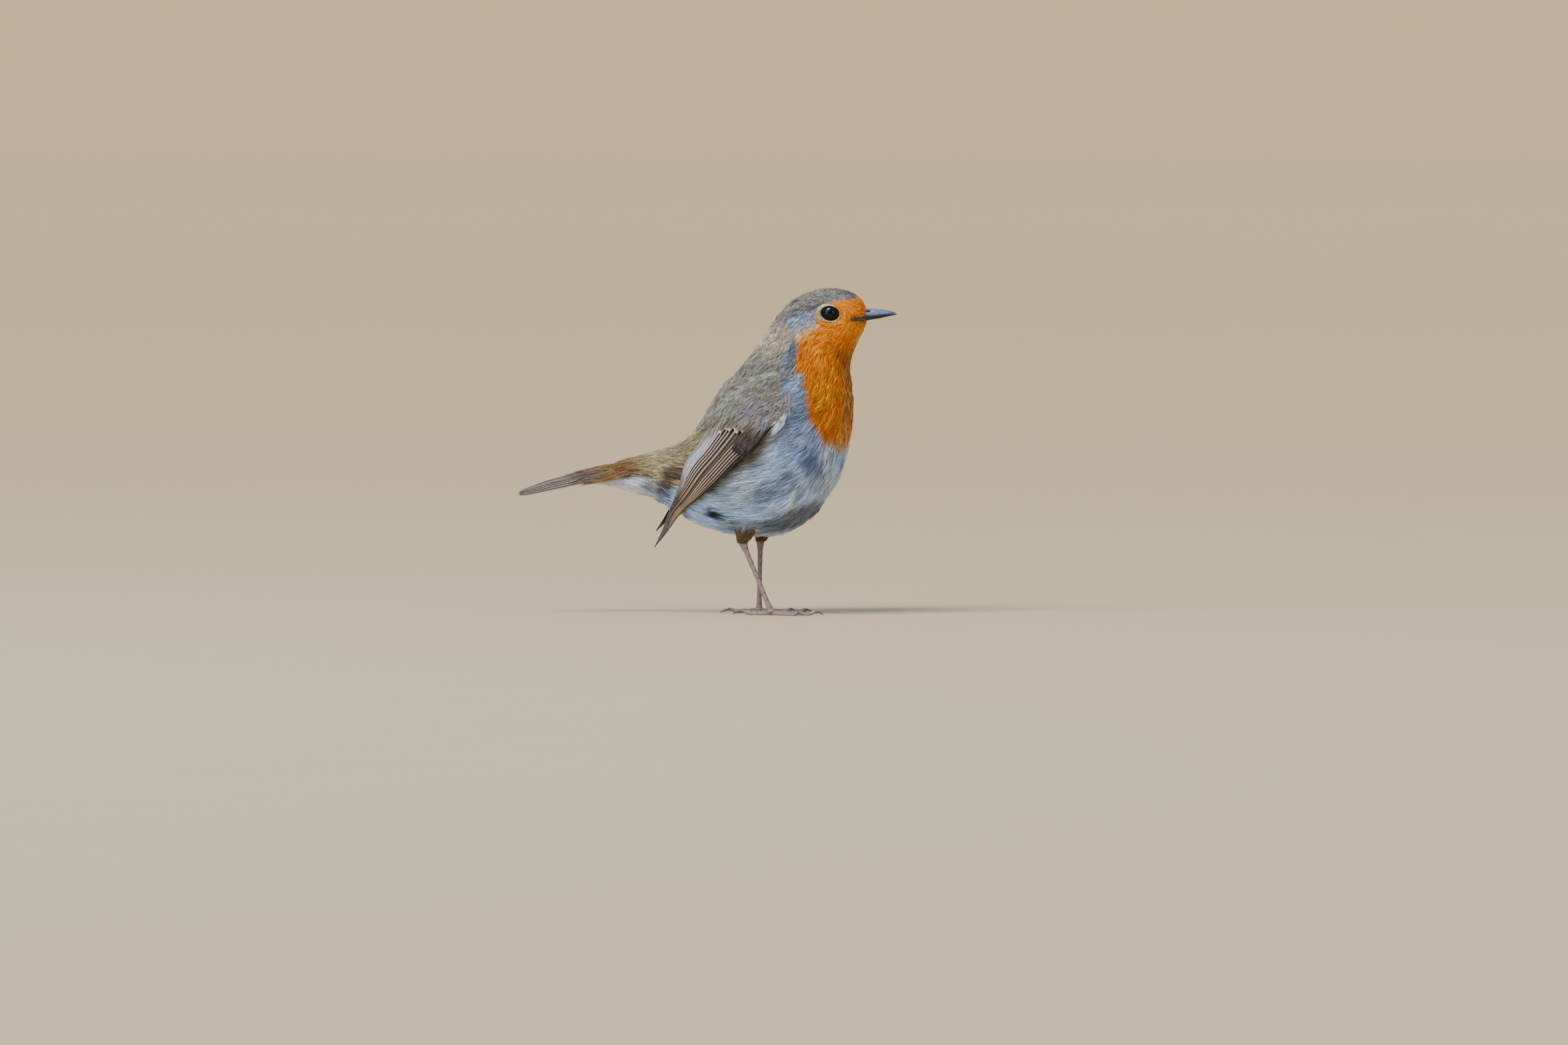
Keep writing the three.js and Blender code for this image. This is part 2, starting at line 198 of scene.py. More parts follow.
def patternPlace(tree, sizeMm):
    # coordinates in which one unit is sizeMm on the object
    place = addNode(tree, "ShaderNodeTexCoord").outputs["Object"]
    scale = 1 / (sizeMm * millimetre)
    return addNode(tree, "ShaderNodeMapping", {"Vector": place}, Scale=(scale,) * 3).outputs[0]


def makeFloorPaint():
    # matt emulsion paint, rolled: even and pale, with a faint mottle
    material, tree, shader = newMaterial("mattEmulsionPaint")
    place = patternPlace(tree, 90)
    mottle = addNode(tree, "ShaderNodeTexNoise", {"Vector": place}, Scale=1.0, Detail=3.0)
    base = linear(studio["floorColour"])
    tone = addNode(tree, "ShaderNodeMix", {"Factor": mottle.outputs["Fac"]}, data_type="RGBA")
    tone.inputs[6].default_value = (*(base * 0.97), 1)
    tone.inputs[7].default_value = (*base, 1)
    tree.links.new(tone.outputs[2], shader.inputs["Base Color"])
    setSockets(shader, Roughness=0.9)
    return material


def mottledTint(tree, shader, sizeMm, detail, spread, window=(0.0, 1.0)):
    # the mesh's own tint, made uneven by noise of sizeMm; gives back the noise for a bump
    tint = addNode(tree, "ShaderNodeVertexColor", layer_name="tint")
    place = patternPlace(tree, sizeMm)
    noise = addNode(tree, "ShaderNodeTexNoise", {"Vector": place}, Scale=1.0, Detail=detail)
    level = addNode(tree, "ShaderNodeMapRange", {"Value": noise.outputs["Fac"]})
    ends = {"From Min": window[0], "From Max": window[1], "To Min": 1 - spread, "To Max": 1 + spread}
    for key, value in ends.items():
        level.inputs[key].default_value = value
    colour = addNode(tree, "ShaderNodeVectorMath", {0: tint.outputs["Color"]}, operation="SCALE")
    tree.links.new(level.outputs[0], colour.inputs["Scale"])
    tree.links.new(colour.outputs[0], shader.inputs["Base Color"])
    return noise


def addBump(tree, shader, noise, strength, deepMm):
    height = {"Height": noise.outputs["Fac"]}
    bump = addNode(tree, "ShaderNodeBump", height, Strength=strength, Distance=deepMm * millimetre)
    tree.links.new(bump.outputs[0], shader.inputs["Normal"])


def makePlumage(name, roughness, sheen, grainMm, contrast):
    # keratin feather web: matt, soft at glancing light, with fine uneven barbs
    material, tree, shader = newMaterial(name)
    mottledTint(tree, shader, grainMm, 2.0, contrast, (0.3, 0.7))
    setSockets(shader, Roughness=roughness, Sheen_Weight=sheen, Sheen_Roughness=0.5)
    shader.inputs["Specular IOR Level"].default_value = 0.12
    return material


def makeHorn(name, roughness, streakMm, coatWeight):
    # beak and claw keratin, grown in layers and worn smooth: satin, with fine streaks under the gloss
    material, tree, shader = newMaterial(name)
    streak = mottledTint(tree, shader, streakMm, 4.0, 0.4)
    addBump(tree, shader, streak, 0.2, 0.03)
    setSockets(shader, Roughness=roughness, Coat_Weight=coatWeight, Coat_Roughness=0.15, IOR=1.4)
    return material


def makeLegSkin():
    # scaly bird skin: dry, low-gloss plates with darker joints, from the tint of the mesh
    material, tree, shader = newMaterial("scalyLegSkin")
    grain = mottledTint(tree, shader, 0.5, 4.0, 0.25)
    addBump(tree, shader, grain, 0.3, 0.05)
    setSockets(shader, Roughness=0.5)
    return material


def makeCornea():
    # wet cornea over a dark brown iris: almost black, with a mirror-like tear film
    material, tree, shader = newMaterial("wetCornea")
    mottledTint(tree, shader, 0.25, 3.0, 0.4)
    setSockets(shader, Roughness=0.04, IOR=1.336)
    return material


def addPiece(name, points, faces, material, uv=None, tint=None, smooth=False, replaces=()):
    # points in millimetres, faces as an array of triangles or quads
    mesh = bpy.data.meshes.new(name)
    corners = faces.shape[1]
    mesh.vertices.add(len(points))
    mesh.vertices.foreach_set("co", (points * millimetre).astype(np.float32).ravel())
    mesh.loops.add(faces.size)
    mesh.loops.foreach_set("vertex_index", faces.astype(np.int32).ravel())
    mesh.polygons.add(len(faces))
    mesh.polygons.foreach_set("loop_start", np.arange(0, faces.size, corners, dtype=np.int32))
    mesh.polygons.foreach_set("use_smooth", np.full(len(faces), smooth))
    mesh.update(calc_edges=True)
    if uv is not None:
        layer = mesh.uv_layers.new(name="OFBake")
        layer.data.foreach_set("uv", uv[faces.ravel()].astype(np.float32).ravel())
    if tint is not None:
        attribute = mesh.color_attributes.new("tint", "FLOAT_COLOR", "POINT")
        rgba = np.ones((len(points), 4), dtype=np.float32)
        rgba[:, :3] = np.clip(tint * studio["paintLevel"], 0, 0.92)
        attribute.data.foreach_set("color", rgba.ravel())
    mesh.validate()
    mesh.materials.append(material)
    piece = bpy.data.objects.new(name, mesh)
    bpy.context.scene.collection.objects.link(piece)
    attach(piece, "root")
    if replaces:
        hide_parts(*replaces)
    return piece


def ringFaces(rings, sides, closed=True):
    # quads between rings of points that follow each other
    r, k = np.meshgrid(np.arange(rings - 1), np.arange(sides if closed else sides - 1), indexing="ij")
    a = r * sides + k
    b = r * sides + (k + 1) % sides
    return np.stack([a, b, b + sides, a + sides], -1).reshape(-1, 4)


def capped(rings):
    # points and quads of a closed tube, each end closed by a point
    count, sides = rings.shape[:2]
    points = np.concatenate([rings.reshape(-1, 3), rings[0].mean(0)[None], rings[-1].mean(0)[None]])
    faces = [ringFaces(count, sides)]
    k = np.arange(sides)
    start, end = count * sides, count * sides + 1
    last = (count - 1) * sides
    after = (k + 1) % sides
    faces.append(np.stack([np.full(sides, start), after, k, k], -1))
    faces.append(np.stack([np.full(sides, end), last + k, last + after, last + after], -1))
    return points, np.concatenate(faces)


def endsToo(values):
    # one value a point for a closed tube, with those of its two end points
    flat = values.reshape(-1, values.shape[-1])
    return np.concatenate([flat, values[0, :1], values[-1, :1]])


def mapEnds(uv):
    return np.concatenate([uv, uv[:1], uv[-1:]])


def ringMap(rings, sides):
    # an even map for a tube of rings
    along, around = np.meshgrid(np.linspace(0, 1, rings), np.linspace(0, 1, sides), indexing="ij")
    return np.stack([along, around], -1).reshape(-1, 2)


def joined(parts):
    # one mesh from parts, each of them points, faces that count from nought, map and tint
    points, faces, uvs, tints = zip(*parts)
    first = np.cumsum([0] + [len(p) for p in points])
    faces = [f + start for f, start in zip(faces, first)]
    return [np.concatenate(part) for part in (points, faces, uvs, tints)]


def triangles(quads):
    # quads as triangles, without the empty ones of a fan
    tris = np.concatenate([quads[:, [0, 1, 2]], quads[:, [0, 2, 3]]])
    return tris[(tris[:, 0] != tris[:, 1]) & (tris[:, 1] != tris[:, 2]) & (tris[:, 0] != tris[:, 2])]


class Sheet:
    # a smooth sheet sampled on a grid, u along the lie of the coat and v across it, with outward normals
    def __init__(self, pointAt, uRange, vRange, cells, outward):
        self.uRange, self.vRange, self.cells = uRange, vRange, cells
        u = np.linspace(*uRange, cells[0] + 1)
        v = np.linspace(*vRange, cells[1] + 1)
        points = pointAt(*np.meshgrid(u, v, indexing="ij"))
        alongU = np.gradient(points, u, axis=0)
        alongV = np.gradient(points, v, axis=1)
        normal = np.cross(alongV, alongU) * outward
        normal /= np.linalg.norm(normal, axis=2, keepdims=True) + 1e-12
        steps = [np.linalg.norm(d, axis=2)[..., None] for d in (alongU, alongV)]
        self.fields = np.concatenate([points, normal, *steps], 2)

    def sample(self, u, v):
        # points, normals and the millimetres for one unit of u and of v
        i = (u - self.uRange[0]) / (self.uRange[1] - self.uRange[0]) * self.cells[0]
        j = (v - self.vRange[0]) / (self.vRange[1] - self.vRange[0]) * self.cells[1]
        i = np.clip(i, 0, self.cells[0] - 1e-6)
        j = np.clip(j, 0, self.cells[1] - 1e-6)
        i0, j0 = i.astype(int), j.astype(int)
        f, g = (i - i0)[..., None], (j - j0)[..., None]
        a = mix(self.fields[i0, j0], self.fields[i0 + 1, j0], f)
        b = mix(self.fields[i0, j0 + 1], self.fields[i0 + 1, j0 + 1], f)
        value = mix(a, b, g)
        return value[..., :3], value[..., 3:6], value[..., 6], value[..., 7]

    def lifted(self, u, v, height):
        points, normals, _, _ = self.sample(u, v)
        return points + normals * height[..., None]


# Back point, breast point, half width and how far down the section is widest, from the bill to the tail
bodyStations = [
    [52.4, 99.4, 52.7, 96.4, 1.2, 0.5],
    [51.7, 101.0, 52.5, 95.2, 2.7, 0.5],
    [50.6, 102.9, 51.8, 93.9, 4.6, 0.52],
    [48.2, 104.6, 51.0, 92.2, 6.4, 0.54],
    [44.6, 105.9, 50.0, 90.2, 7.9, 0.56],
    [40.0, 106.4, 48.9, 87.8, 9.0, 0.58],
    [35.0, 105.5, 47.6, 84.8, 9.9, 0.58],
    [30.2, 103.6, 46.8, 81.3, 10.8, 0.57],
    [25.6, 100.2, 46.9, 77.6, 12.3, 0.55],
    [21.1, 94.1, 47.4, 72.8, 15.2, 0.53],
    [16.7, 87.4, 47.7, 67.6, 17.9, 0.52],
    [11.3, 80.4, 47.4, 61.5, 20.0, 0.51],
    [5.9, 74.8, 46.1, 54.6, 21.3, 0.5],
    [2.0, 69.1, 43.9, 46.6, 21.8, 0.5],
    [-1.1, 63.9, 39.5, 38.5, 21.4, 0.49],
    [-3.7, 60.0, 33.0, 31.7, 20.1, 0.48],
    [-6.7, 57.0, 24.3, 27.0, 17.9, 0.46],
    [-10.2, 54.8, 11.7, 26.6, 14.8, 0.44],
    [-13.4, 53.8, -1.3, 29.6, 11.4, 0.42],
    [-16.8, 52.9, -11.1, 34.6, 8.4, 0.42],
    [-21.2, 51.7, -18.2, 38.4, 6.6, 0.44],
    [-26.5, 50.1, -25.2, 40.4, 5.4, 0.46],
    [-31.7, 48.5, -31.3, 41.9, 4.4, 0.48],
    [-36.5, 47.1, -36.4, 42.7, 3.0, 0.5],
]
lastStation = len(bodyStations) - 1
eye = {"x": 41.5, "z": 98.4, "radius": 3.45, "centreY": 5.95, "openX": 2.9, "openZ": 2.32, "tilt": -8.0}
gape = {
    "cornerX": 48.3, "cornerZ": 96.6, "front": 53.0, "up": 0.3, "down": 0.75,  # slope above, depth below
    "upperLip": "#3e4455", "lowerLip": "#2c2d35",
}


def bodyPoint(s, theta):
    backX, backZ, breastX, breastZ, halfWidth, widest = (column(bodyStations, k, s) for k in range(6))
    c = np.cos(theta)
    share = np.where(c > 0, widest * (1 - c), widest - (1 - widest) * c)
    return np.stack(
        [backX + (breastX - backX) * share, halfWidth * np.sin(theta), backZ + (breastZ - backZ) * share], -1
    )


body = Sheet(bodyPoint, (0, lastStation), (-0.6, 2 * math.pi + 0.6), (340, 300), 1)


def plumageWidth(x, z):
    # how far out the plumage reaches at a place in side view
    low, high = np.full(x.shape, 4.0), np.full(x.shape, float(lastStation))
    for _ in range(30):
        middle = (low + high) / 2
        backX, backZ, breastX, breastZ = (column(bodyStations, k, middle) for k in range(4))
        beyond = (breastX - backX) * (z - backZ) - (breastZ - backZ) * (x - backX) > 0
        high = np.where(beyond, middle, high)
        low = np.where(beyond, low, middle)
    backX, backZ, breastX, breastZ, halfWidth, widest = (column(bodyStations, k, low) for k in range(6))
    downX, downZ = breastX - backX, breastZ - backZ
    share = ((x - backX) * downX + (z - backZ) * downZ) / (downX**2 + downZ**2)
    c = np.where(share < widest, 1 - share / widest, (share - widest) / (1 - widest))
    inside = (share > 0) & (share < 1) & (low < lastStation - 0.01)
    return np.where(inside, halfWidth * np.sqrt(np.clip(1 - c * c, 0, 1)), 0)


def eyeReach(points, margin=0.0):
    # below 1 inside the eye's opening, seen from the side
    tilt = math.radians(eye["tilt"])
    dx, dz = points[..., 0] - eye["x"], points[..., 2] - eye["z"]
    along, up = dx * math.cos(tilt) + dz * math.sin(tilt), -dx * math.sin(tilt) + dz * math.cos(tilt)
    reach = np.hypot(along / (eye["openX"] + margin), up / (eye["openZ"] + margin))
    return np.where(np.abs(points[..., 1]) > 3, reach, 9.0)


def atGape(points):
    # the bare wedge at the side of the bill's base
    x, z = points[..., 0] - gape["cornerX"], points[..., 2] - gape["cornerZ"]
    return (x > 0) & (z < gape["up"] * x) & (z > -gape["down"] * ease(0, 3.2, x)) & (x < 6)


# Upper x and z, lower x and z, from the bend to the tip
wingStations = [
    [27.4, 79.6, 30.3, 74.6],
    [17.9, 75.6, 27.7, 67.6],
    [9.7, 69.2, 23.4, 61.6],
    [3.6, 61.8, 17.4, 53.8],
    [-0.2, 55.8, 12.0, 48.9],
    [-4.5, 50.0, 6.1, 42.9],
    [-7.1, 42.5, -1.1, 37.1],
    [-10.7, 35.0, -7.7, 32.4],
    [-13.5, 28.1, -12.0, 26.9],
    [-16.5, 21.9, -16.3, 21.7],
]
wing = {
    "lift": 2.1,  # above the plumage under it
    "lowerLift": 1.7,  # more at the lower edge, where the feathers lie one under another
    "freeStart": 0.5,  # share of the length where the blade leaves the body
    "freeY": (10.6, 8.2),
    "leftTip": (-1.5, 5.0),  # the left tip is further back and higher
    "softness": 1.5,
}


def wingPointAt(side):
    def pointAt(share, across):
        s = np.clip(share, 0, 1) * (len(wingStations) - 1)
        upperX, upperZ, lowerX, lowerZ = (column(wingStations, k, s) for k in range(4))
        x, z = mix(upperX, lowerX, across), mix(upperZ, lowerZ, across)
        free = ease(wing["freeStart"], 1, share)
        freeY = mix(*wing["freeY"], free)
        lift = wing["lift"] * (1 - 0.35 * share)
        lift = lift + wing["lowerLift"] * ease(0.2, 0.9, across) * ease(0.2, 0.4, share)
        spread = plumageWidth(x, z) + lift - freeY
        y = freeY + (spread + np.sqrt(spread**2 + wing["softness"])) / 2
        shift = share**2 if side > 0 else 0 * share
        return np.stack([x + wing["leftTip"][0] * shift, side * y, z + wing["leftTip"][1] * shift], -1)

    return pointAt


wingSides = {"right": -1, "left": 1}
wingSheets = {
    label: Sheet(wingPointAt(side), (0, 1), (-0.25, 1.3), (200, 70), side)
    for label, side in wingSides.items()
}


def wingOutline(x, z):
    # distance to the outline of the wing's upper part in side view, negative inside it, and how far
    # the coat laps over the nearest edge, from 0 to 1
    rows = np.array(wingStations[:7])
    along = np.arange(7) / (len(wingStations) - 1)
    corners = np.concatenate([rows[:, :2], rows[::-1, 2:]])
    laps = np.concatenate([ease(0.52, 0.36, along), ease(0.33, 0.2, along[::-1])])
    best, lap = np.full(x.shape, 1e9), np.zeros(x.shape)
    inside = np.zeros(x.shape, dtype=bool)
    for k in range(len(corners)):
        (ax, az), (bx, bz) = corners[k], corners[(k + 1) % len(corners)]
        ex, ez = bx - ax, bz - az
        f = np.clip(((x - ax) * ex + (z - az) * ez) / (ex * ex + ez * ez), 0, 1)
        distance = np.hypot(x - ax - f * ex, z - az - f * ez)
        lap = np.where(distance < best, mix(laps[k], laps[(k + 1) % len(corners)], f), lap)
        best = np.minimum(best, distance)
        inside ^= ((az > z) != (bz > z)) & (x < ex * (z - az) / (ez if ez else 1e-9) + ax)
    return np.where(inside, -best, best), lap


palette = {
    "crown": "#999383", "nape": "#c1b59a", "mantle": "#9c9987", "rump": "#c4b486",
    "tailCovert": "#93754a", "orange": "#f08e00", "orangeFace": "#ff9c00", "orangeDull": "#e0bf8a",
    "throat": "#b36d14", "gape": "#5a3a20", "blueGrey": "#a0b8d9", "earBuff": "#ffbc5e",
    "flank": "#c6dbf6", "flankBuff": "#c8d4d3", "white": "#dae9ff", "bellyFoldShade": "#687c96",
    "bellyShade": "#5c5e65", "ventGrey": "#cfd6ed", "undertail": "#f5faff", "ventShadowBrown": "#503927",
    "ventTaupe": "#a99f93", "ventBlue": "#b6c6de", "slate": "#56606f", "midGrey": "#98a7b4",
    "dark": "#2a2f33", "thigh": "#7b6648", "eyeRing": "#fff0bf",
}
colours = {name: linear(value) for name, value in palette.items()}
colours["undertail"] *= 1.4

# Rear edge of the orange, as height and place along the body, from the breast to the forehead
bibEdge = [
    (52.5, 45.0), (54.0, 40.6), (58.0, 38.9), (62.0, 37.0), (66.0, 34.2), (70.0, 34.4),
    (74.0, 33.2), (77.0, 31.4), (79.0, 32.6), (81.5, 29.0), (85.0, 29.6), (90.0, 30.2),
    (92.0, 34.6), (95.5, 36.2), (99.0, 35.4), (100.7, 37.2), (101.6, 39.6), (102.3, 42.6),
    (103.0, 46.4), (103.6, 49.4), (104.4, 52.8),
]
# Soft spots in side view: colour, x, z, half length, half height, turn in degrees and strength
spots = [
    ("blueGrey", 31.0, 97.6, 5.0, 1.4, 12, 0.7),
    ("blueGrey", 30.0, 94.2, 3.5, 1.4, 10, 0.4),
    ("blueGrey", 27.8, 84.5, 2.8, 8.0, -14, 0.35),
    ("blueGrey", 30.0, 69.5, 4.4, 10.5, -4, 0.95),
    ("flank", 28.6, 71.5, 2.4, 6.0, -8, 0.4),
    ("slate", 28.2, 86.0, 1.9, 6.5, -12, 0.55),
    ("blueGrey", 31.5, 57.0, 6.5, 9.5, -20, 0.6),
    ("earBuff", 32.2, 92.2, 3.4, 1.3, 14, 1.0),
    ("flankBuff", 9.0, 41.0, 10.0, 8.0, 40, 0.75),
    ("midGrey", 22.0, 41.5, 7.0, 3.6, 38, 0.75),
    # painted shade: a darker blue-grey fold between the flank and the white belly
    ("bellyFoldShade", 36.3, 48.0, 3.6, 11.0, 20, 0.8),
    ("bellyFoldShade", 30.5, 43.0, 2.6, 9.0, 28, 0.6),
    ("slate", 47.6, 104.6, 4.2, 1.5, -14, 0.75),
    ("slate", 35.6, 100.6, 3.4, 0.9, 16, 0.7),
    ("slate", 28.5, 99.2, 3.0, 0.8, 24, 0.5),
]
# Painted after the white of the breast and belly
lowSpots = [
    ("white", 43.0, 47.0, 2.2, 12.0, 24, 0.9),
    # darker grey under the belly: partly its own greyer feathers, partly painted shade on the underside
    ("bellyShade", 29.5, 33.2, 12.0, 3.4, 26, 0.8),
    ("bellyShade", 16.0, 29.8, 9.0, 1.8, 8, 0.55),
    # painted shadow in a gap between the belly's feathers
    ("dark", 6.6, 32.5, 4.6, 1.8, -12, 1.0),
    ("ventGrey", -1.0, 28.6, 9.0, 1.6, -14, 0.8),
]
# Painted after the white under the tail
ventSpots = [
    ("ventTaupe", -15.8, 40.6, 4.4, 3.0, -8, 0.85),
    # painted shadow: a dark brown patch behind the wing's edge, above the undertail
    ("ventShadowBrown", -11.0, 42.2, 3.0, 6.6, -14, 0.85),
    ("ventBlue", -14.8, 35.8, 4.4, 1.7, -6, 0.9),
]


def flankView(points):
    # place along and up as the markings are laid out, as seen a few degrees ahead of square-on to the flank
    turn = math.radians(view["turn"])
    return points[..., 0] * math.cos(turn) - np.abs(points[..., 1]) * math.sin(turn), points[..., 2]


def paint(base, name, weight):
    return mix(base, colours[name], np.clip(weight, 0, 1)[..., None])


def paintSpots(colour, x, z, rows):
    for name, cx, cz, halfLength, halfHeight, turn, strength in rows:
        angle = math.radians(turn)
        dx, dz = x - cx, z - cz
        along = (dx * math.cos(angle) + dz * math.sin(angle)) / halfLength
        up = (-dx * math.sin(angle) + dz * math.cos(angle)) / halfHeight
        colour = paint(colour, name, strength * ease(1.25, 0.55, np.hypot(along, up)))
    return colour


def plumageColour(points, share):
    # share is 0 along the back and 1 along the breast
    x, z = flankView(points)
    edges = np.array(bibEdge)
    behind = np.interp(z, edges[:, 0], edges[:, 1]) - x
    colour = np.broadcast_to(colours["mantle"], points.shape).copy()
    colour = paint(colour, "crown", ease(96, 101, z))
    colour = paint(colour, "nape", ease(82, 90, z) * ease(99, 93, z))
    colour = paint(colour, "rump", ease(6, -4, x) * ease(66, 58, z))
    colour = paint(colour, "tailCovert", ease(-12, -24, x))
    under = ease(0.5, 0.62, share) * ease(66, 56, z)
    colour = paint(colour, "flank", under)
    colour = paint(colour, "flank", ease(0.42, 0.56, share) * ease(28, 33, x) * ease(70, 62, z))
    colour = paintSpots(colour, x, z, spots)
    colour = paint(colour, "white", ease(0.78, 0.95, share) * ease(52, 44, z) * ease(8, 16, x) * 0.8)
    colour = paintSpots(colour, x, z, lowSpots)
    lower = 0.14 * ease(-20, -28, x)
    colour = paint(colour, "undertail", ease(0.5 + lower, 0.6 + lower, share) * ease(-12.5, -18.5, x))
    colour = paintSpots(colour, x, z, ventSpots)
    bib = ease(0.5, -0.5, behind) * ease(54.5, 58.0, z)
    orange = paint(np.broadcast_to(colours["orange"], points.shape), "orangeFace", ease(86, 95, z))
    orange = mix(orange, colours["orangeDull"], (ease(0.9, 1.0, share) * ease(95.5, 91, z) * 0.5)[..., None])
    orange = mix(orange, colours["orangeDull"], (ease(62, 53, z) * 0.6)[..., None])
    # a darker orange down the front of the throat: partly its duller colour, partly painted shade on the
    # side turned from the light
    orange = paint(orange, "throat", 0.55 * ease(41, 46, x) * ease(90, 84, z) * ease(58, 66, z))
    fromGape = np.hypot((x - 48.2) / 3.2, (z - 96.9 - 0.08 * (x - 48)) / 0.55)
    orange = paint(orange, "gape", 0.75 * ease(1.3, 0.4, fromGape))
    return mix(colour, orange, bib[..., None])


def combFeathers(sheet, f, barbs, colourAt, lift=None, angles=(34, 14), stray=0.5):
    # Loose body feathers: a shaft with separate barbs, bent to the sheet. f holds arrays, one value a
    # feather: u, v, length, halfWidth, yaw, low, high (heights of root and tip), tone; and one number,
    # streak, for the unevenness of its barbs.
    count = len(f["u"])
    each = lambda name: f[name][:, None]
    t = np.linspace(0.08, 0.95, barbs + 1)
    length, width = each("length"), each("halfWidth")
    along = [length * t] * 2
    thin = 0.05 * (1.3 - t)
    across = [-thin + 0 * along[0], thin + 0 * along[0]]
    middle = (t[:-1] + t[1:]) / 2
    outline = (1 - middle**2.4) ** 0.6 * (0.55 + 0.45 * ease(0, 0.35, middle))
    angle = np.radians(mix(float(angles[0]), float(angles[1]), middle))
    parts = {"a": [*along], "b": [*across], "edge": [0 * along[0], 0 * along[0]]}
    clumps = max(2, barbs // 4)
    tones = [np.zeros_like(along[0])] * 2
    for side in (-1, 1):
        clump = np.repeat(random.normal(0, 1, (count, clumps)), -(-barbs // clumps), 1)[:, :barbs]
        turn = angle + np.radians(random.normal(0, 3.5, (count, barbs)) + 4.5 * clump)
        reach = np.minimum(width * outline / np.sin(angle), 0.55 * length)
        reach = reach * random.uniform(0.72, 1.22, (count, barbs))
        base = length * middle
        tipA = base + reach * np.cos(turn * 0.82) + 0.06 * length
        tipB = side * (reach * np.sin(turn * 0.82))
        midA = base + 0.5 * reach * np.cos(turn * 1.18)
        midB = side * (0.5 * reach * np.sin(turn * 1.18))
        half = 0.5 * length * (t[1] - t[0]) * np.sin(turn) * random.uniform(0.8, 1.15, (count, barbs))
        aSide, bSide = half * np.sin(turn), half * np.cos(turn) * side
        parts["a"] += [midA - aSide, midA + aSide, tipA]
        parts["b"] += [midB + bSide, midB - bSide, tipB]
        tip = random.normal(0, 0.09, (count, barbs))
        twist = random.uniform(-0.07, 0.07, (count, barbs))
        parts["edge"] += [twist, -twist, tip]
        shade = random.normal(0, f["streak"], (count, barbs))
        tones += [shade, shade, shade + 0.04]
    a = np.concatenate(parts["a"], 1)
    b = np.concatenate(parts["b"], 1)
    edge = np.concatenate(parts["edge"], 1)
    tone = np.concatenate(tones, 1)
    shaftShare = np.clip(a / length, 0, 1.2)
    height = mix(each("low"), each("high"), np.clip(shaftShare, 0, 1.1) ** 0.85)
    height = height - 0.3 * width * (b / width) ** 2 * np.clip(shaftShare, 0.2, 1) + edge
    _, _, stepU, stepV = sheet.sample(f["u"], f["v"])
    yaw = each("yaw")
    u = each("u") + (a * np.cos(yaw) - b * np.sin(yaw)) / stepU[:, None]
    v = each("v") + (a * np.sin(yaw) + b * np.cos(yaw)) / stepV[:, None]
    if lift is not None:
        height = height + lift(sheet.sample(u, v)[0])
    points = sheet.lifted(u, v, height)
    # colour from between root and place, wandering a little for each feather so that edges are ragged
    wander = random.normal(0, stray, (2, count, 1))
    nearU = mix(u, each("u"), 0.3) + wander[0] / stepU[:, None]
    nearV = mix(v, each("v"), 0.3) + wander[1] / stepV[:, None]
    colour = colourAt(nearU, nearV)
    warmth, gold = np.clip(random.normal(0, 0.06, (2, count, 1)), -0.1, 0.1)
    rich = 1 - colour[..., 2] / np.maximum(colour[..., 0], 1e-3)
    gold = 1 + gold * (0.8 + 2.4 * np.clip(rich, 0, 1))
    colour = colour * np.stack([1 + warmth + 0 * gold, gold, 1 - 1.4 * warmth + 0 * gold], -1)
    # darker towards each feather's root: partly the dark grey feather bases, partly painted shade deep in
    # the coat
    depth = 0.5 + 0.5 * ease(0.1, 0.6, shaftShare)
    colour = colour * ((1 + tone + each("tone")) * depth)[..., None]
    patch = 0.003
    uSpan, vSpan = sheet.uRange[1] - sheet.uRange[0], sheet.vRange[1] - sheet.vRange[0]
    rootU = 0.002 + 0.992 * (each("u") - sheet.uRange[0]) / uSpan
    rootV = 0.002 + 0.992 * (each("v") - sheet.vRange[0]) / vSpan
    uv = np.stack([rootU + patch * shaftShare / 1.2, rootV + patch * (0.5 + b / width / 3)], -1)
    return points, colour, np.clip(uv, 0, 1), combFaces(barbs)


def featherSet(u, v, length, yaw, low, high, tone, streak, slender):
    # the values that combFeathers wants; slender is half the width as a share of the length
    return {
        "u": u, "v": v, "length": length, "yaw": yaw, "low": low + 0 * u, "high": high, "tone": tone,
        "streak": streak, "halfWidth": length * slender,
    }


def combFaces(barbs):
    # triangles of one feather: the shaft's strip, then two joined triangles and a point for each barb
    i = np.arange(barbs)
    rail = barbs + 1
    left, right = i, rail + i
    faces = [np.stack([left, right, right + 1], 1), np.stack([left, right + 1, left + 1], 1)]
    for side in (0, 1):
        shaft = side * rail + i
        inner = 2 * rail + side * 3 * barbs + i
        outer, tip = inner + barbs, inner + 2 * barbs
        quads = [
            np.stack([shaft, shaft + 1, outer], 1),
            np.stack([shaft, outer, inner], 1),
            np.stack([inner, outer, tip], 1),
        ]
        faces += [q if side == 0 else q[:, ::-1] for q in quads]
    return np.concatenate(faces)


def featherPiece(name, batches, material):
    # batches of feathers, each (points, colours, uv, faces of one feather), as one mesh
    parts = []
    for points, tint, uv, one in batches:
        count, each = points.shape[:2]
        starts = np.arange(count) * each
        faces = (one[None] + starts[:, None, None]).reshape(-1, one.shape[1])
        parts.append((points.reshape(-1, 3), faces, uv.reshape(-1, 2), tint.reshape(-1, 3)))
    points, faces, uv, tint = joined(parts)
    addPiece(name, points, faces, material, uv, np.clip(tint, 0.002, 1.3))


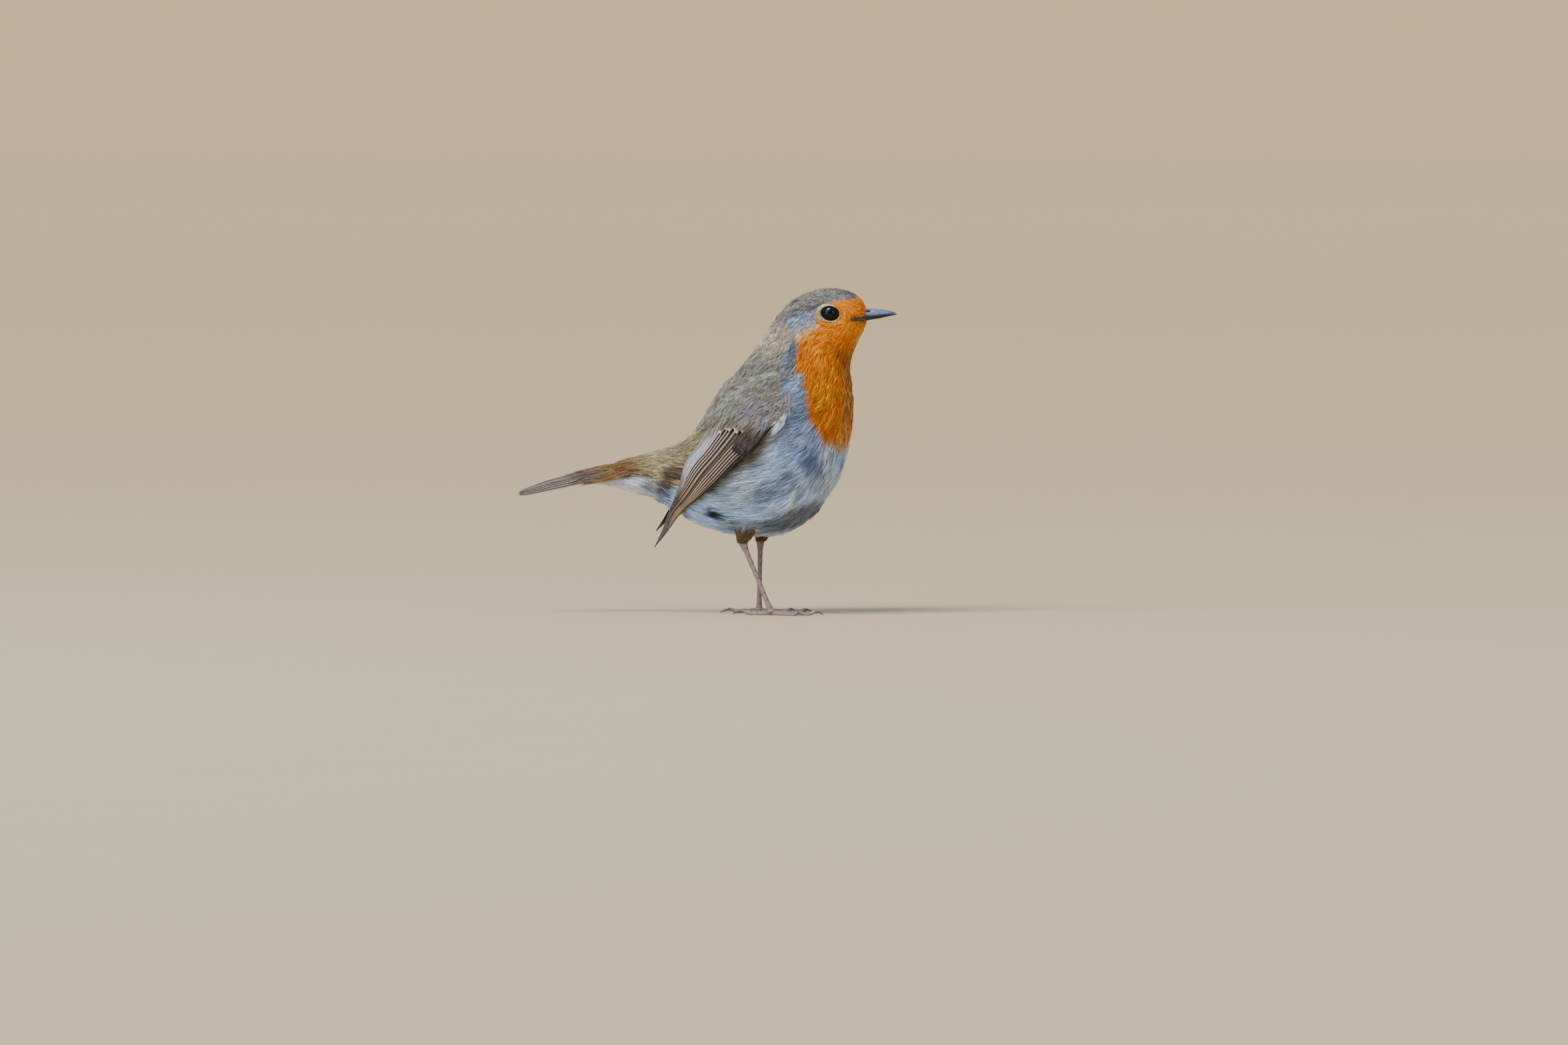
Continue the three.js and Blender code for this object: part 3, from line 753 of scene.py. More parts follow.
def scatterRoots(sheet, spacingAt, keep, tries):
    # random roots, each at least its own spacing from those chosen before it
    fields = sheet.fields[:-1, :-1]
    u = np.linspace(*sheet.uRange, sheet.cells[0] + 1)[:-1]
    v = np.linspace(*sheet.vRange, sheet.cells[1] + 1)[:-1]
    gridU, gridV = np.meshgrid(u, v, indexing="ij")
    spacing = spacingAt(gridU, gridV, fields[..., :3])
    weight = fields[..., 6] * fields[..., 7] / spacing**2 * keep(gridU, gridV, fields[..., :3])
    weight = weight.ravel() / weight.sum()
    picks = random.choice(len(weight), tries, p=weight)
    pickU = gridU.ravel()[picks] + random.uniform(0, u[1] - u[0], tries)
    pickV = gridV.ravel()[picks] + random.uniform(0, v[1] - v[0], tries)
    places = sheet.sample(pickU, pickV)[0]
    gaps = spacing.ravel()[picks]
    cell = float(gaps.max())
    taken, chosen = {}, []
    for k, (place, gap) in enumerate(zip(places.tolist(), gaps.tolist())):
        home = tuple(int(c // cell) for c in place)
        near = (
            q
            for i in (-1, 0, 1)
            for j in (-1, 0, 1)
            for m in (-1, 0, 1)
            for q in taken.get((home[0] + i, home[1] + j, home[2] + m), ())
        )
        x, y, z = place
        if all((q[0] - x) ** 2 + (q[1] - y) ** 2 + (q[2] - z) ** 2 > gap * gap for q in near):
            taken.setdefault(home, []).append(place)
            chosen.append(k)
    return pickU[chosen], pickV[chosen]


coat = {
    "at": [0, 1, 2, 3.5, 5, 7, 8.5, 10, 12, 14, 17, 20, 23],  # stations from the bill to the tail
    "length": [1.1, 1.4, 1.7, 2.2, 2.7, 3.7, 4.7, 5.8, 7.2, 8.4, 9.0, 8.4, 8.0],
    "spacing": [0.36, 0.38, 0.4, 0.45, 0.52, 0.62, 0.72, 0.82, 0.93, 1.02, 1.05, 1.0, 1.0],
    "depth": [0.25, 0.35, 0.5, 0.6, 0.8, 1.1, 1.4, 1.7, 2.0, 2.2, 2.3, 1.8, 1.2],
    # half width as a share of the length
    "slender": [0.34, 0.34, 0.34, 0.32, 0.3, 0.27, 0.25, 0.23, 0.21, 0.2, 0.2, 0.22, 0.24],
    "shortBack": 0.3,  # how much shorter the feathers of the mantle are than those of the breast
    "swing": 0.6,  # radians by which the breast's side feathers turn back to the wing
    "swell": 1.5,  # how far the coat rises beside the folded wings
    "waves": (9, 12, 16, 22),  # sizes of the slow waves of tone
    "tries": 120000,
    "most": 190000,  # triangles in one piece
    # name, first and last station, barbs on a side, their angles at root and tip, slot
    "regions": [
        ("faceFeathers", 0, 4.2, 7, (36, 16), "face_plumage"),
        ("headFeathers", 4.2, 7.4, 10, (30, 12), "face_plumage"),
        ("neckFeathers", 7.4, 10, 13, (25, 10), "face_plumage"),
        ("breastFeathers", 10, 13, 16, (22, 8), "body_plumage"),
        ("bellyFeathers", 13, 17.4, 19, (20, 7), "body_plumage"),
        ("rumpFeathers", 17.4, 24, 17, (22, 8), "undertail_plumage"),
    ],
}


def coatValue(name, u):
    return np.interp(u, coat["at"], coat[name])


def sectionShare(u, v):
    widest = column(bodyStations, 5, np.clip(u, 0, lastStation))
    c = np.cos(v)
    return np.where(c > 0, widest * (1 - c), widest - (1 - widest) * c)


def bodyColour(u, v):
    u = np.clip(u, 0, lastStation)
    points = body.sample(u, v)[0]
    return plumageColour(points, sectionShare(u, v)) * (1 - 0.72 * wingShade(points))[..., None]


def coatSwell(points):
    # the plumage rises round the upper part of the wing and laps over its edge
    edge, lap = wingOutline(points[..., 0], points[..., 2])
    rise = coat["swell"] * np.exp(-((np.maximum(edge, 0) / 4.5) ** 2)) + 1.0 * ease(0, -1.5, edge)
    dip = 0.6 * (1 - lap) * np.exp(-((edge / 2.5) ** 2))
    return (rise * lap - dip) * ease(9, 13, np.abs(points[..., 1]))


def wingShade(points):
    # painted shadow: the flank is darker where the wing lies over it
    x, z = points[..., 0], points[..., 2]
    low = np.array(wingStations)[2:8]
    edgeX = np.interp(z, low[::-1, 3], low[::-1, 2])
    beyond = (x - edgeX) * 0.62
    near = ease(-1.5, 0.0, beyond) * ease(1.5, 0.5, beyond) * ease(31, 35, z) * ease(62, 56, z)
    return near * (np.abs(points[..., 1]) > 6)


def keepCoat(u, v, points):
    edge, lap = wingOutline(points[..., 0], points[..., 2])
    covered = (edge < -1.2 - 0.8 * lap) & (np.abs(points[..., 1]) > 8)
    margin = mix(0.65, 1.0, ease(-1, 1, points[..., 0] - eye["x"]))
    bare = (eyeReach(points, margin) <= 1) | atGape(points)
    return (~covered & ~bare & (v >= 0) & (v < 2 * math.pi)).astype(float)


def shortenAtEye(sheet, u, v, length, yaw):
    # stops the feathers in front of the eye at its opening
    _, _, stepU, stepV = sheet.sample(u, v)
    share = np.ones_like(u)
    for part in (1.15, 0.95, 0.75, 0.55, 0.4):
        reach = length * part
        place = sheet.sample(u + reach * np.cos(yaw) / stepU, v + reach * np.sin(yaw) / stepV)[0]
        share = np.where(eyeReach(place, 1.15) < 1, part * 0.7, share)
    return length * share


def lieOfCoat(u, v):
    # turn of the feathers from straight down the body, towards the back on both flanks
    share = sectionShare(u, v)
    flank = ease(8.8, 10.2, u) * ease(15.5, 13.0, u) * ease(0.34, 0.5, share) * ease(0.93, 0.78, share)
    return -np.sign(np.sin(v)) * coat["swing"] * flank


def makeCoat(material):
    def spacingAt(u, v, points):
        return coatValue("spacing", u) * (1 - 0.12 * ease(0.5, 0.35, sectionShare(u, v)) * ease(7, 10, u))

    u, v = scatterRoots(body, spacingAt, keepCoat, coat["tries"])
    points = body.sample(u, v)[0]
    count = len(u)
    share = sectionShare(u, v)
    belly = ease(0.6, 0.9, share) * ease(60, 40, points[:, 2])
    fluff = belly * ease(14, 16, u)
    back = ease(0.55, 0.38, share) * ease(6, 9, u) * ease(19, 16, u)
    length = coatValue("length", u) * random.uniform(0.85, 1.2, count)
    length = length * (1 + 0.2 * fluff) * (1 - coat["shortBack"] * back)
    yaw = random.normal(0, np.radians(6 + 7 * fluff), count) + lieOfCoat(u, v)
    depth = coatValue("depth", u)
    waves = 0
    for size in coat["waves"]:
        lie = random.normal(0, 1 / size, 3)
        waves = waves + np.sin(points @ lie * 2 * math.pi + random.uniform(0, 6.3))
    high = random.normal(-0.05, 0.1, count) * (0.3 + depth) + 0.5 * fluff * random.random(count)
    tone = random.normal(0, 1, count) * mix(0.08, 0.14, ease(4, 9, u)) + 0.055 * waves * ease(2, 8, u)
    length = shortenAtEye(body, u, v, length, yaw)
    feathers = {
        "u": u, "v": v, "length": length, "yaw": yaw, "low": -depth, "high": high, "tone": tone,
        "halfWidth": length * coatValue("slender", u) * random.uniform(0.85, 1.15, count),
    }
    for name, start, end, barbs, angles, slot in coat["regions"]:
        index = np.nonzero((u >= start) & (u < end) & (length > 0.5))[0]
        each = 8 * barbs
        most = coat["most"] // each
        for part in range(-(-len(index) // most)):
            some = index[part * most:(part + 1) * most]
            chosen = {key: value[some] for key, value in feathers.items()}
            chosen["streak"] = 0.16 + 0.2 * ease(3, 12, start)
            batch = combFeathers(body, chosen, barbs, bodyColour, coatSwell, angles)
            label = name + ("ABCDEFGH"[part] if len(index) > most else "")
            featherPiece(label, [batch], material)
            print(f"{label}: {len(some)} feathers, {len(some) * each} triangles")


looseDown = [
    # name, how many, first and last station, half width of the strip round the breast line in radians,
    # length and lift
    ("bellyDown", 460, 13.6, 16.8, 0.85, 9.0, 1.1),
    ("ventDown", 240, 16.6, 18.3, 0.7, 8.0, 1.2),
]


def makeLooseDown(material):
    for name, count, start, end, strip, size, lift in looseDown:
        feathers = featherSet(
            u=random.uniform(start, end, count),
            v=math.pi + random.uniform(-strip, strip, count),
            length=size * random.uniform(0.7, 1.15, count),
            yaw=random.normal(0, 0.28, count),
            low=-1.2,
            high=lift * random.uniform(0.1, 1.0, count) ** 1.5,
            tone=random.normal(0.04, 0.07, count),
            streak=0.09,
            slender=0.2,
        )
        batch = combFeathers(body, feathers, 20, bodyColour, None, (26, 10))
        featherPiece(name, [batch], material)


def makeSkin(material):
    # one skin under the coat, sunk by the coat's depth and hollowed at the eyes
    rings, sides = 130, 120
    u = np.linspace(0.0, lastStation, rings)
    v = turns(sides)
    gridU, gridV = np.meshgrid(u, v, indexing="ij")
    outer = body.sample(gridU, gridV)[0]
    socket = 2.2 * ease(1.35, 0.8, eyeReach(outer))
    points = body.lifted(gridU, gridV, -coatValue("depth", gridU) - 0.15 - socket)
    # the skin carries the coat's markings at 0.4: painted shade in the gaps between the feathers
    tint = plumageColour(outer, sectionShare(gridU, gridV)) * 0.4
    skin, faces = capped(points)
    uv = mapEnds(np.stack([gridU / lastStation, gridV / (2 * math.pi)], -1).reshape(-1, 2))
    addPiece(
        "robinSkin", skin, triangles(faces), material, uv, endsToo(tint), smooth=True,
        replaces=("head", "neck", "trunk", "rump", "thigh_right", "thigh_left"),
    )


vaneColumns = np.array([-1, -0.7, -0.35, -0.04, 0.04, 0.35, 0.62, 0.74, 0.86, 0.93, 1.0])


blade = {
    "outer": 1,  # +1 or -1, the side of the outer edge
    "blunt": 2.0,  # how square the tip is
    "bend": 1,
    "ragged": 0.008,
    "pitch": 0.42,  # from row to row
    "thick": 0.09,
    "limit": None,  # the vane goes no further across
}


def vaneFeather(sheet, shape, paintAt):
    # One stiff feather as a thin blade, a top and an underside that meet at the edges. Its rows follow
    # the barbs, which slant to the tip.
    # shape: edge (u, v at the root, u, v at the tip), widths (inner, outer), round (share of the length
    # where the tip begins), high (root, tip), and what differs from the plain blade
    spec = {**blade, **shape}
    u0, v0, u1, v1 = spec["edge"]
    outer = spec["outer"]
    start = sheet.sample(np.array([u0, u1]), np.array([v0, v1]))[0]
    size = float(np.linalg.norm(start[1] - start[0]))
    rows = max(14, int(size / spec["pitch"]))
    s = np.linspace(0, 1, rows)[:, None]
    w = vaneColumns[None, :]
    begin = spec["round"]
    tip = np.clip((s - begin) / (1 - begin), 0, 1)
    outline = np.sqrt(np.clip(1 - tip ** spec["blunt"], 0, 1)) * (0.6 + 0.4 * ease(0, 0.2, s))
    ragged = 1 + random.normal(0, spec["ragged"], (rows, 1))
    inner, outside = spec["widths"]
    width = np.where(w < 0, inner, outside) * outline * ragged
    slant = np.where(w < 0, 0.9, 1.5) * np.abs(w) * width * 0.8
    alongShare = np.clip(s + slant / size * (1 - 0.3 * tip), 0, 1.03)
    u = u0 + (u1 - u0) * alongShare
    edgeV = v0 + (v1 - v0) * alongShare ** spec["bend"]
    stepV = sheet.sample(u, edgeV)[3]
    fromEdge = outside * outline - w * width
    v = edgeV - outer * fromEdge / np.maximum(stepV, 0.4)
    if spec["limit"] is not None:
        v = np.maximum(v, spec["limit"])
    ridge = random.normal(0, 0.007, (rows, 1)) * np.abs(w)
    sag = np.where(w < 0, 0.15 * np.abs(w), 0.02 * w**2)
    height = mix(spec["high"][0], spec["high"][1], s) - sag + ridge
    height = height + np.where(np.abs(w) < 0.05, 0.09 * (1 - 0.7 * s), 0)
    thick = spec["thick"] * (1 - w**2) ** 0.5 * (1 - 0.6 * s)
    top = sheet.lifted(u, v, height)
    bottom = sheet.lifted(u, v, height - thick)
    clumps = np.repeat(random.normal(0, 0.05, (rows // 4 + 1, 2)), 4, 0)[:rows]
    tone = np.where(w < 0, clumps[:, :1], clumps[:, 1:]) + random.normal(0, 0.05, (rows, 1))
    colour = paintAt(s + 0 * w, w + 0 * s, np.abs(1 - w) * outside * outline)
    colour = colour * (1 + tone)[..., None]
    colour = colour * (1 - 0.35 * np.exp(-((w / 0.05) ** 2)))[..., None]
    return top, bottom, colour


def vanePiece(name, sheet, specs, material, replaces=()):
    # blades as one mesh, each in its own strip of the map
    parts = []
    columns = len(vaneColumns)
    for k, (spec, paintAt) in enumerate(specs):
        top, bottom, colour = vaneFeather(sheet, spec, paintAt)
        rows = len(top)
        grid = ringFaces(rows, columns, closed=False)
        along = np.repeat(np.linspace(0.01, 0.99, rows)[:, None], columns, 1)
        across = np.repeat((vaneColumns[None, :] + 1) / 2, rows, 0)
        # the underside gets 0.75 of the top's colour: painted shade
        for part, (side, faces, shade) in enumerate(((top, grid, 1.0), (bottom, grid[:, ::-1], 0.75))):
            strip = (k + 0.5 * part + 0.02 + 0.44 * across) / len(specs)
            uv = np.stack([strip, along], -1).reshape(-1, 2)
            parts.append((side.reshape(-1, 3), faces, uv, (colour * shade).reshape(-1, 3)))
    points, faces, uv, tint = joined(parts)
    tint = np.clip(tint, 0.002, 1.3)
    piece = addPiece(name, points, faces, material, uv, tint, replaces=replaces)
    print(f"{name}: {len(specs)} feathers, {2 * len(piece.data.polygons)} triangles")


def edged(base, edge, edgeMm, tip=None, tipShare=0.9, centre=None, fade=1.0, inner=0.5, streaks=0.0):
    # paint for a blade: a base colour, a paler outer edge of so many mm, and perhaps a tip or dark centre
    def paintAt(s, w, fromEdge):
        colour = np.broadcast_to(linear(base), (*s.shape, 3)).copy()
        if centre:
            colour = mix(colour, linear(centre), (np.exp(-((w / 0.5) ** 2)) * 0.8)[..., None])
        wide = edgeMm * mix(1, 0.6, ease(0.55, 1, s))
        rim = ease(wide * 1.2, wide * 0.8, fromEdge) * (w > 0) * mix(1, fade, ease(0.5, 1, s))
        colour = mix(colour, linear(edge), rim[..., None])
        colour = mix(colour, linear(edge), (ease(0.86, 0.98, -w) * inner)[..., None])
        colour = colour * (1 + streaks * np.sin(19 * w + 3 * s) * np.sin(7 * w - 5 * s))[..., None]
        if tip:
            colour = mix(colour, linear(tip), ease(tipShare - 0.05, tipShare + 0.03, s)[..., None])
        return colour

    return paintAt


wingFeathers = {
    "limit": -0.04,
    "layers": ("tertials", "secondaries", "foldedSecondary", "innerPrimaries", "primaries", "outerPrimary"),
    # base, edge and centre colours, then a row for each feather: outer edge's place across at root and
    # tip, place of the tip along, and width of the pale edge
    "tertials": ("#9c9591", "#c2bbb5", "#7b726e", [
        (0.1, 0.05, 0.66, 0.3), (0.165, 0.06, 0.7, 0.25), (0.22, 0.08, 0.725, 0.22),
    ]),
    "secondaries": ("#40352e", "#cdb090", "#2b2420", [
        (0.27, 0.1, 0.745, 0.3), (0.325, 0.14, 0.76, 0.3), (0.385, 0.19, 0.775, 0.32),
    ]),
    "foldedSecondary": ("#3a2f27", "#a4865a", "#2b2420", [(0.478, 0.3, 0.85, 0.66)]),
    "innerPrimaries": ("#3a3029", "#8d7457", "#26201c", [(0.55, 0.42, 0.86, 0.16)]),
    "primaries": ("#3b312b", "#c6a27a", "#29221e", [
        (0.61, 0.5, 0.895, 0.32), (0.672, 0.6, 0.92, 0.32), (0.742, 0.69, 0.942, 0.32),
        (0.812, 0.77, 0.962, 0.3), (0.878, 0.84, 0.98, 0.16),
    ]),
    # the outermost primary is near black, with no pale edge: painted shadow along the wing's lower edge
    "outerPrimary": ("#29221f", "#4b403a", "#1f1a18", [(0.962, 0.93, 1.0, 0.14)]),
    "step": 0.13,  # each lies this much below the one before
    "greaterCoverts": 8,
    "covertTips": ("#f0d9ae", "#caa06a", "#ecc995", "#d9b380"),
    # a patch with one smooth dark outline: place across, place of the tip along, inner width, height,
    # base and centre colours
    "primaryCoverts": [
        (0.93, 0.368, 4.3, -0.4, "#221d1a", "#1b1715"),
        (0.93, 0.35, 1.1, -0.3, "#4a4039", "#332c27"),
        (0.86, 0.357, 1.1, -0.24, "#5d5148", "#40372f"),
        (0.795, 0.35, 1.1, -0.18, "#6c6057", "#4b4139"),
        (0.735, 0.332, 1.1, -0.12, "#71665d", "#544a42"),
    ],
    "alula": [(0.99, 0.37), (1.035, 0.39)],
    "medianCoverts": 10,
    "lesserCoverts": {"far": 0.212, "tries": 5200, "gap": 1.0},
    "softCoverts": 60,
    "foldedOver": 5,
    "armDeep": 2.6,
}


def wingSpecs():
    # all stiff feathers of one wing, from the lowest layer to the highest
    specs = []
    limit = wingFeathers["limit"]

    def add(edge, widths, begin, high, paintAt, **more):
        specs.append(({"edge": edge, "widths": widths, "round": begin, "high": high, **more}, paintAt))

    layer = 0
    for group in wingFeathers["layers"]:
        base, edge, centre, rows = wingFeathers[group]
        broad = group == "tertials"
        start = 0.2 if broad else 0.24
        widths, begin = ((4.6, 1.7), 0.78) if broad else ((4.2, 1.3), 0.84)
        tip, streaks = ("#7c7169", 0.16) if broad else ("#5c514a", 0.08)
        for rootC, tipC, tipT, edgeMm in rows:
            high = 0.05 - wingFeathers["step"] * layer
            paintAt = edged(base, edge, edgeMm, centre=centre, fade=0.35, tip=tip, streaks=streaks)
            place, heights = (start, rootC, tipT, tipC), (high, high * 0.75)
            add(place, widths, begin, heights, paintAt, limit=limit, blunt=1.8, bend=4, pitch=0.34)
            layer += 1
    count = wingFeathers["greaterCoverts"]
    for k in range(count):
        f = k / (count - 1)
        c = mix(0.28, 0.78, f) + random.normal(0, 0.01)
        tipT = mix(0.332, 0.262, f) + random.normal(0, 0.006)
        buff = wingFeathers["covertTips"][k % 4] if f < 0.6 else "#c08a4e"
        share = mix(0.945, 0.965, f)
        paintAt = edged("#655d51", "#8a7e6a", 0.3, tip=buff, tipShare=share, centre="#4a4339", inner=0.2)
        place, high = (tipT - 0.17, c + 0.02, tipT, c), (0.15 - 0.05 * k, 0.34 - 0.05 * k)
        add(place, (1.5, 0.9), 0.7, high, paintAt, limit=limit, blunt=2.2, ragged=0.05, pitch=0.22)
    for c, tipT, wide, high, base, centre in wingFeathers["primaryCoverts"]:
        paintAt = edged(base, "#2b2420", 0.16, tip="#1d1916", tipShare=0.97, centre=centre, inner=0.6)
        add((0.19, c - 0.02, tipT, c), (wide, 0.8), 0.6, (high, high), paintAt, blunt=2.8, pitch=0.25)
    for k, (c, tipT) in enumerate(wingFeathers["alula"]):
        paintAt = edged("#3a322d", "#1f1b18", 0.2, tip="#1c1916", tipShare=0.95, centre="#2b2521")
        high = (-0.3 - 0.15 * k, -0.25 - 0.22 * k)
        add((0.13, c + 0.03, tipT, c), (2.2, 0.9), 0.6, high, paintAt, blunt=2.4)
    count = wingFeathers["medianCoverts"]
    for k in range(count):
        f = k / (count - 1)
        c = mix(0.16, 0.92, f)
        tipT = mix(0.25, 0.19, f)
        paintAt = edged("#7d838c" if k % 3 == 1 else "#7d7566", "#9d9788", 0.4, centre="#655e54")
        place, high = (tipT - 0.13, c + 0.03, tipT, c), (0.3 - 0.04 * k, 0.55 - 0.05 * k)
        add(place, (1.7, 1.15), 0.45, high, paintAt, limit=limit)
    return specs


def wingCovertColour(sheet):
    def colourAt(u, v):
        points = sheet.sample(u, v)[0]
        brown = np.broadcast_to(linear("#8d877e"), points.shape)
        colour = mix(brown, colours["mantle"], ease(0.35, 0.05, v)[..., None])
        grey = ease(0.75, 0.95, v) * ease(0.16, 0.1, u)
        return mix(colour, linear("#8f8984"), grey[..., None])

    return colourAt


def lesserCoverts(sheet):
    # small coverts over the bend
    bend = wingFeathers["lesserCoverts"]
    u, v = scatterRoots(
        sheet,
        lambda u, v, points: np.full(u.shape, bend["gap"]),
        lambda u, v, points: ((u < bend["far"] - 0.07 * v**2) & (v > -0.08) & (v < 1.08)).astype(float),
        bend["tries"],
    )
    count = len(u)
    feathers = featherSet(
        u=u,
        v=v,
        length=mix(3.6, 5.4, u / 0.185) * random.uniform(0.85, 1.15, count),
        yaw=random.normal(0, 0.14, count),
        low=-0.7,
        high=random.normal(0.5, 0.1, count) + 0.35 * ease(0, 0.1, u),
        tone=random.normal(0, 0.06, count),
        streak=0.1,
        slender=0.34,
    )
    return combFeathers(sheet, feathers, 12, wingCovertColour(sheet))


def softCoverts(sheet):
    # soft brown feathers over the primary coverts
    count = wingFeathers["softCoverts"]
    feathers = featherSet(
        u=random.uniform(0.15, 0.285, count),
        v=random.uniform(0.65, 0.99, count),
        length=random.uniform(4.5, 6.5, count),
        yaw=random.normal(0.02, 0.03, count),
        low=-0.3,
        high=random.normal(0.16, 0.05, count),
        tone=random.normal(0, 0.12, count),
        streak=0.14,
        slender=0.13,
    )

    def colourAt(u, v):
        colour = mix(linear("#8a8176"), linear("#6f6157"), ease(0.2, 0.29, u)[..., None])
        rim = np.maximum(ease(0.335, 0.355, u), ease(0.96, 1.01, v))
        return mix(colour, linear("#2e2621"), rim[..., None])

    return combFeathers(sheet, feathers, 16, colourAt, None, (16, 6), 0.1)


def foldedOver(sheet):
    # a few pale flank feathers fold up over the wing's front edge
    count = wingFeathers["foldedOver"]
    order = np.arange(count)
    feathers = featherSet(
        u=0.066 + 0.02 * order / count + random.normal(0, 0.003, count),
        v=1.12 + 0.014 * order + random.normal(0, 0.005, count),
        length=random.uniform(11.0, 12.5, count),
        yaw=-0.02 + random.normal(0, 0.01, count),
        low=-0.4,
        high=random.uniform(1.0, 1.4, count),
        tone=random.normal(0.0, 0.06, count),
        streak=0.08,
        slender=0.04,
    )

    def colourAt(u, v):
        return mix(linear("#7f7b7c"), linear("#dfeafa"), ease(0.06, 0.11, u)[..., None])

    return combFeathers(sheet, feathers, 20, colourAt, None, (11, 4), 0.05)


def makeWing(label, stiff, downy, skin):
    sheet = wingSheets[label]
    nodes = [f"wing_{part}_{label}" for part in ("coverts", "secondaries", "primaries")]
    vanePiece(f"wingFeathers_{label}", sheet, wingSpecs(), stiff, nodes)
    batches = [lesserCoverts(sheet), softCoverts(sheet)]
    featherPiece(f"lesserCoverts_{label}", batches, downy)
    featherPiece(f"foldedFlankFeathers_{label}", [foldedOver(sheet)], downy)
    # the arm under the coverts fills the fold between wing and flank
    gridU, gridV = np.meshgrid(np.linspace(0.02, 0.6, 40), np.linspace(0.06, 0.94, 26), indexing="ij")
    over = sheet.lifted(gridU, gridV, np.full(gridU.shape, -wingFeathers["armDeep"]))
    under = over.copy()
    side = wingSides[label]
    flank = plumageWidth(over[..., 0], over[..., 2]) - 1.2
    under[..., 1] = side * np.minimum(side * under[..., 1] - 0.3, flank)
    rings = np.concatenate([over, under[:, ::-1]], 1)
    points, faces = capped(rings)
    tint = np.broadcast_to(linear("#4b443b"), points.shape)
    uv = mapEnds(ringMap(*rings.shape[:2]))
    addPiece(f"wingArm_{label}", points, triangles(faces), skin, uv, tint, smooth=True)


# x, top z, drop of the edges, half width, thickness
tailStations = [
    [-22, 49.9, 2.6, 4.4, 1.5],
    [-30, 48.4, 3.0, 5.1, 1.4],
    [-38, 46.8, 3.2, 5.9, 1.3],
    [-46, 45.0, 3.2, 6.7, 1.2],
    [-53, 43.2, 2.8, 7.3, 1.1],
    [-58.5, 41.2, 1.8, 7.3, 0.9],
    [-61.7, 39.9, 0.5, 6.0, 0.6],
]
tail = {
    # outer edge across at root and tip, and the tip's place along, for one side from the middle out
    "feathers": [
        (0.3, 0.42, 5.92), (0.42, 0.55, 5.97), (0.55, 0.67, 6.0), (0.68, 0.78, 6.0), (0.82, 0.89, 5.95),
        (0.97, 0.99, 5.85),
    ],
    "step": 0.15,
    "coverts": 150,
}


def tailPoint(s, across):
    x, top, drop, halfWidth = (column(tailStations, k, s) for k in range(4))
    return np.stack([x, halfWidth * across, top - drop * np.abs(across) ** 1.6], -1)


def makeTail(material, downy):
    sheet = Sheet(tailPoint, (0, 6), (-1.3, 1.3), (120, 104), 1)
    specs = []
    for k, (rootV, tipV, tipU) in enumerate(tail["feathers"]):
        edge = "#a38f77" if k < 5 else "#7d6f5c"
        paintAt = edged("#574c43", edge, 0.36, fade=0.7, centre="#3f362f", streaks=0.2)
        for side in (-1, 1):
            high = -tail["step"] * k - (0.07 if side < 0 else 0)
            spec = {
                "edge": (0.0, side * rootV, tipU, side * tipV), "outer": side,
                "widths": (4.2, 2.4 if k == 0 else 1.6), "round": 0.86, "high": (high, high), "blunt": 1.7,
            }
            specs.append((spec, paintAt))
    nodes = ("tail_middle", "tail_outer_right", "tail_outer_left")
    vanePiece("tailFeathers", sheet, specs, material, nodes)
    # long soft coverts over its base
    count = tail["coverts"]
    u, v = 1.7 * random.random(count) ** 1.5, random.uniform(-1.25, 1.25, count)
    feathers = featherSet(
        u=u,
        v=v,
        length=random.uniform(6.0, 12.0, count) * mix(1, 0.6, np.abs(v) / 1.25),
        yaw=random.normal(0, 0.06, count),
        low=0.05,
        high=random.uniform(0.25, 0.9, count),
        tone=random.normal(0, 0.1, count),
        streak=0.14,
        slender=0.13,
    )

    def covertColour(u, v):
        colour = mix(colours["tailCovert"], linear("#7d7060"), ease(0.3, 2.4, u)[..., None])
        rust = 0.45 * ease(0.35, 0.8, np.sin(u * 3.1 + v * 7.0)) * ease(2.0, 1.2, u)
        return mix(colour, linear("#a8702f"), rust[..., None])

    batch = combFeathers(sheet, feathers, 18, covertColour, None, (16, 6))
    featherPiece("tailCoverts", [batch], downy)


def ellipseAt(reach, angle):
    # place in side view on the eye's opening, scaled by reach
    tilt = math.radians(eye["tilt"])
    along, up = reach * eye["openX"] * np.cos(angle), reach * eye["openZ"] * np.sin(angle)
    x = eye["x"] + along * math.cos(tilt) - up * math.sin(tilt)
    z = eye["z"] + along * math.sin(tilt) + up * math.cos(tilt)
    return x, z


def eyeballY(x, z):
    rest = eye["radius"] ** 2 - (x - eye["x"]) ** 2 - (z - eye["z"]) ** 2
    return eye["centreY"] + np.sqrt(np.clip(rest, 0, None))


def eyeCup(side):
    # from the lid's edge out and up to the plumage
    def pointAt(reach, angle):
        x, z = ellipseAt(reach, angle)
        lidX, lidZ = ellipseAt(np.minimum(reach, 1.0), angle)
        y = mix(eyeballY(lidX, lidZ) + 0.1, plumageWidth(x, z) - 0.1, ease(0.98, 1.6, reach))
        return np.stack([x, side * y, z], -1)

    return pointAt


# reach and number of the tiny feathers in each row round the lid
eyeRows = ((1.05, 84), (1.1, 88), (1.16, 90), (1.24, 92), (1.34, 94), (1.45, 96), (1.57, 98))


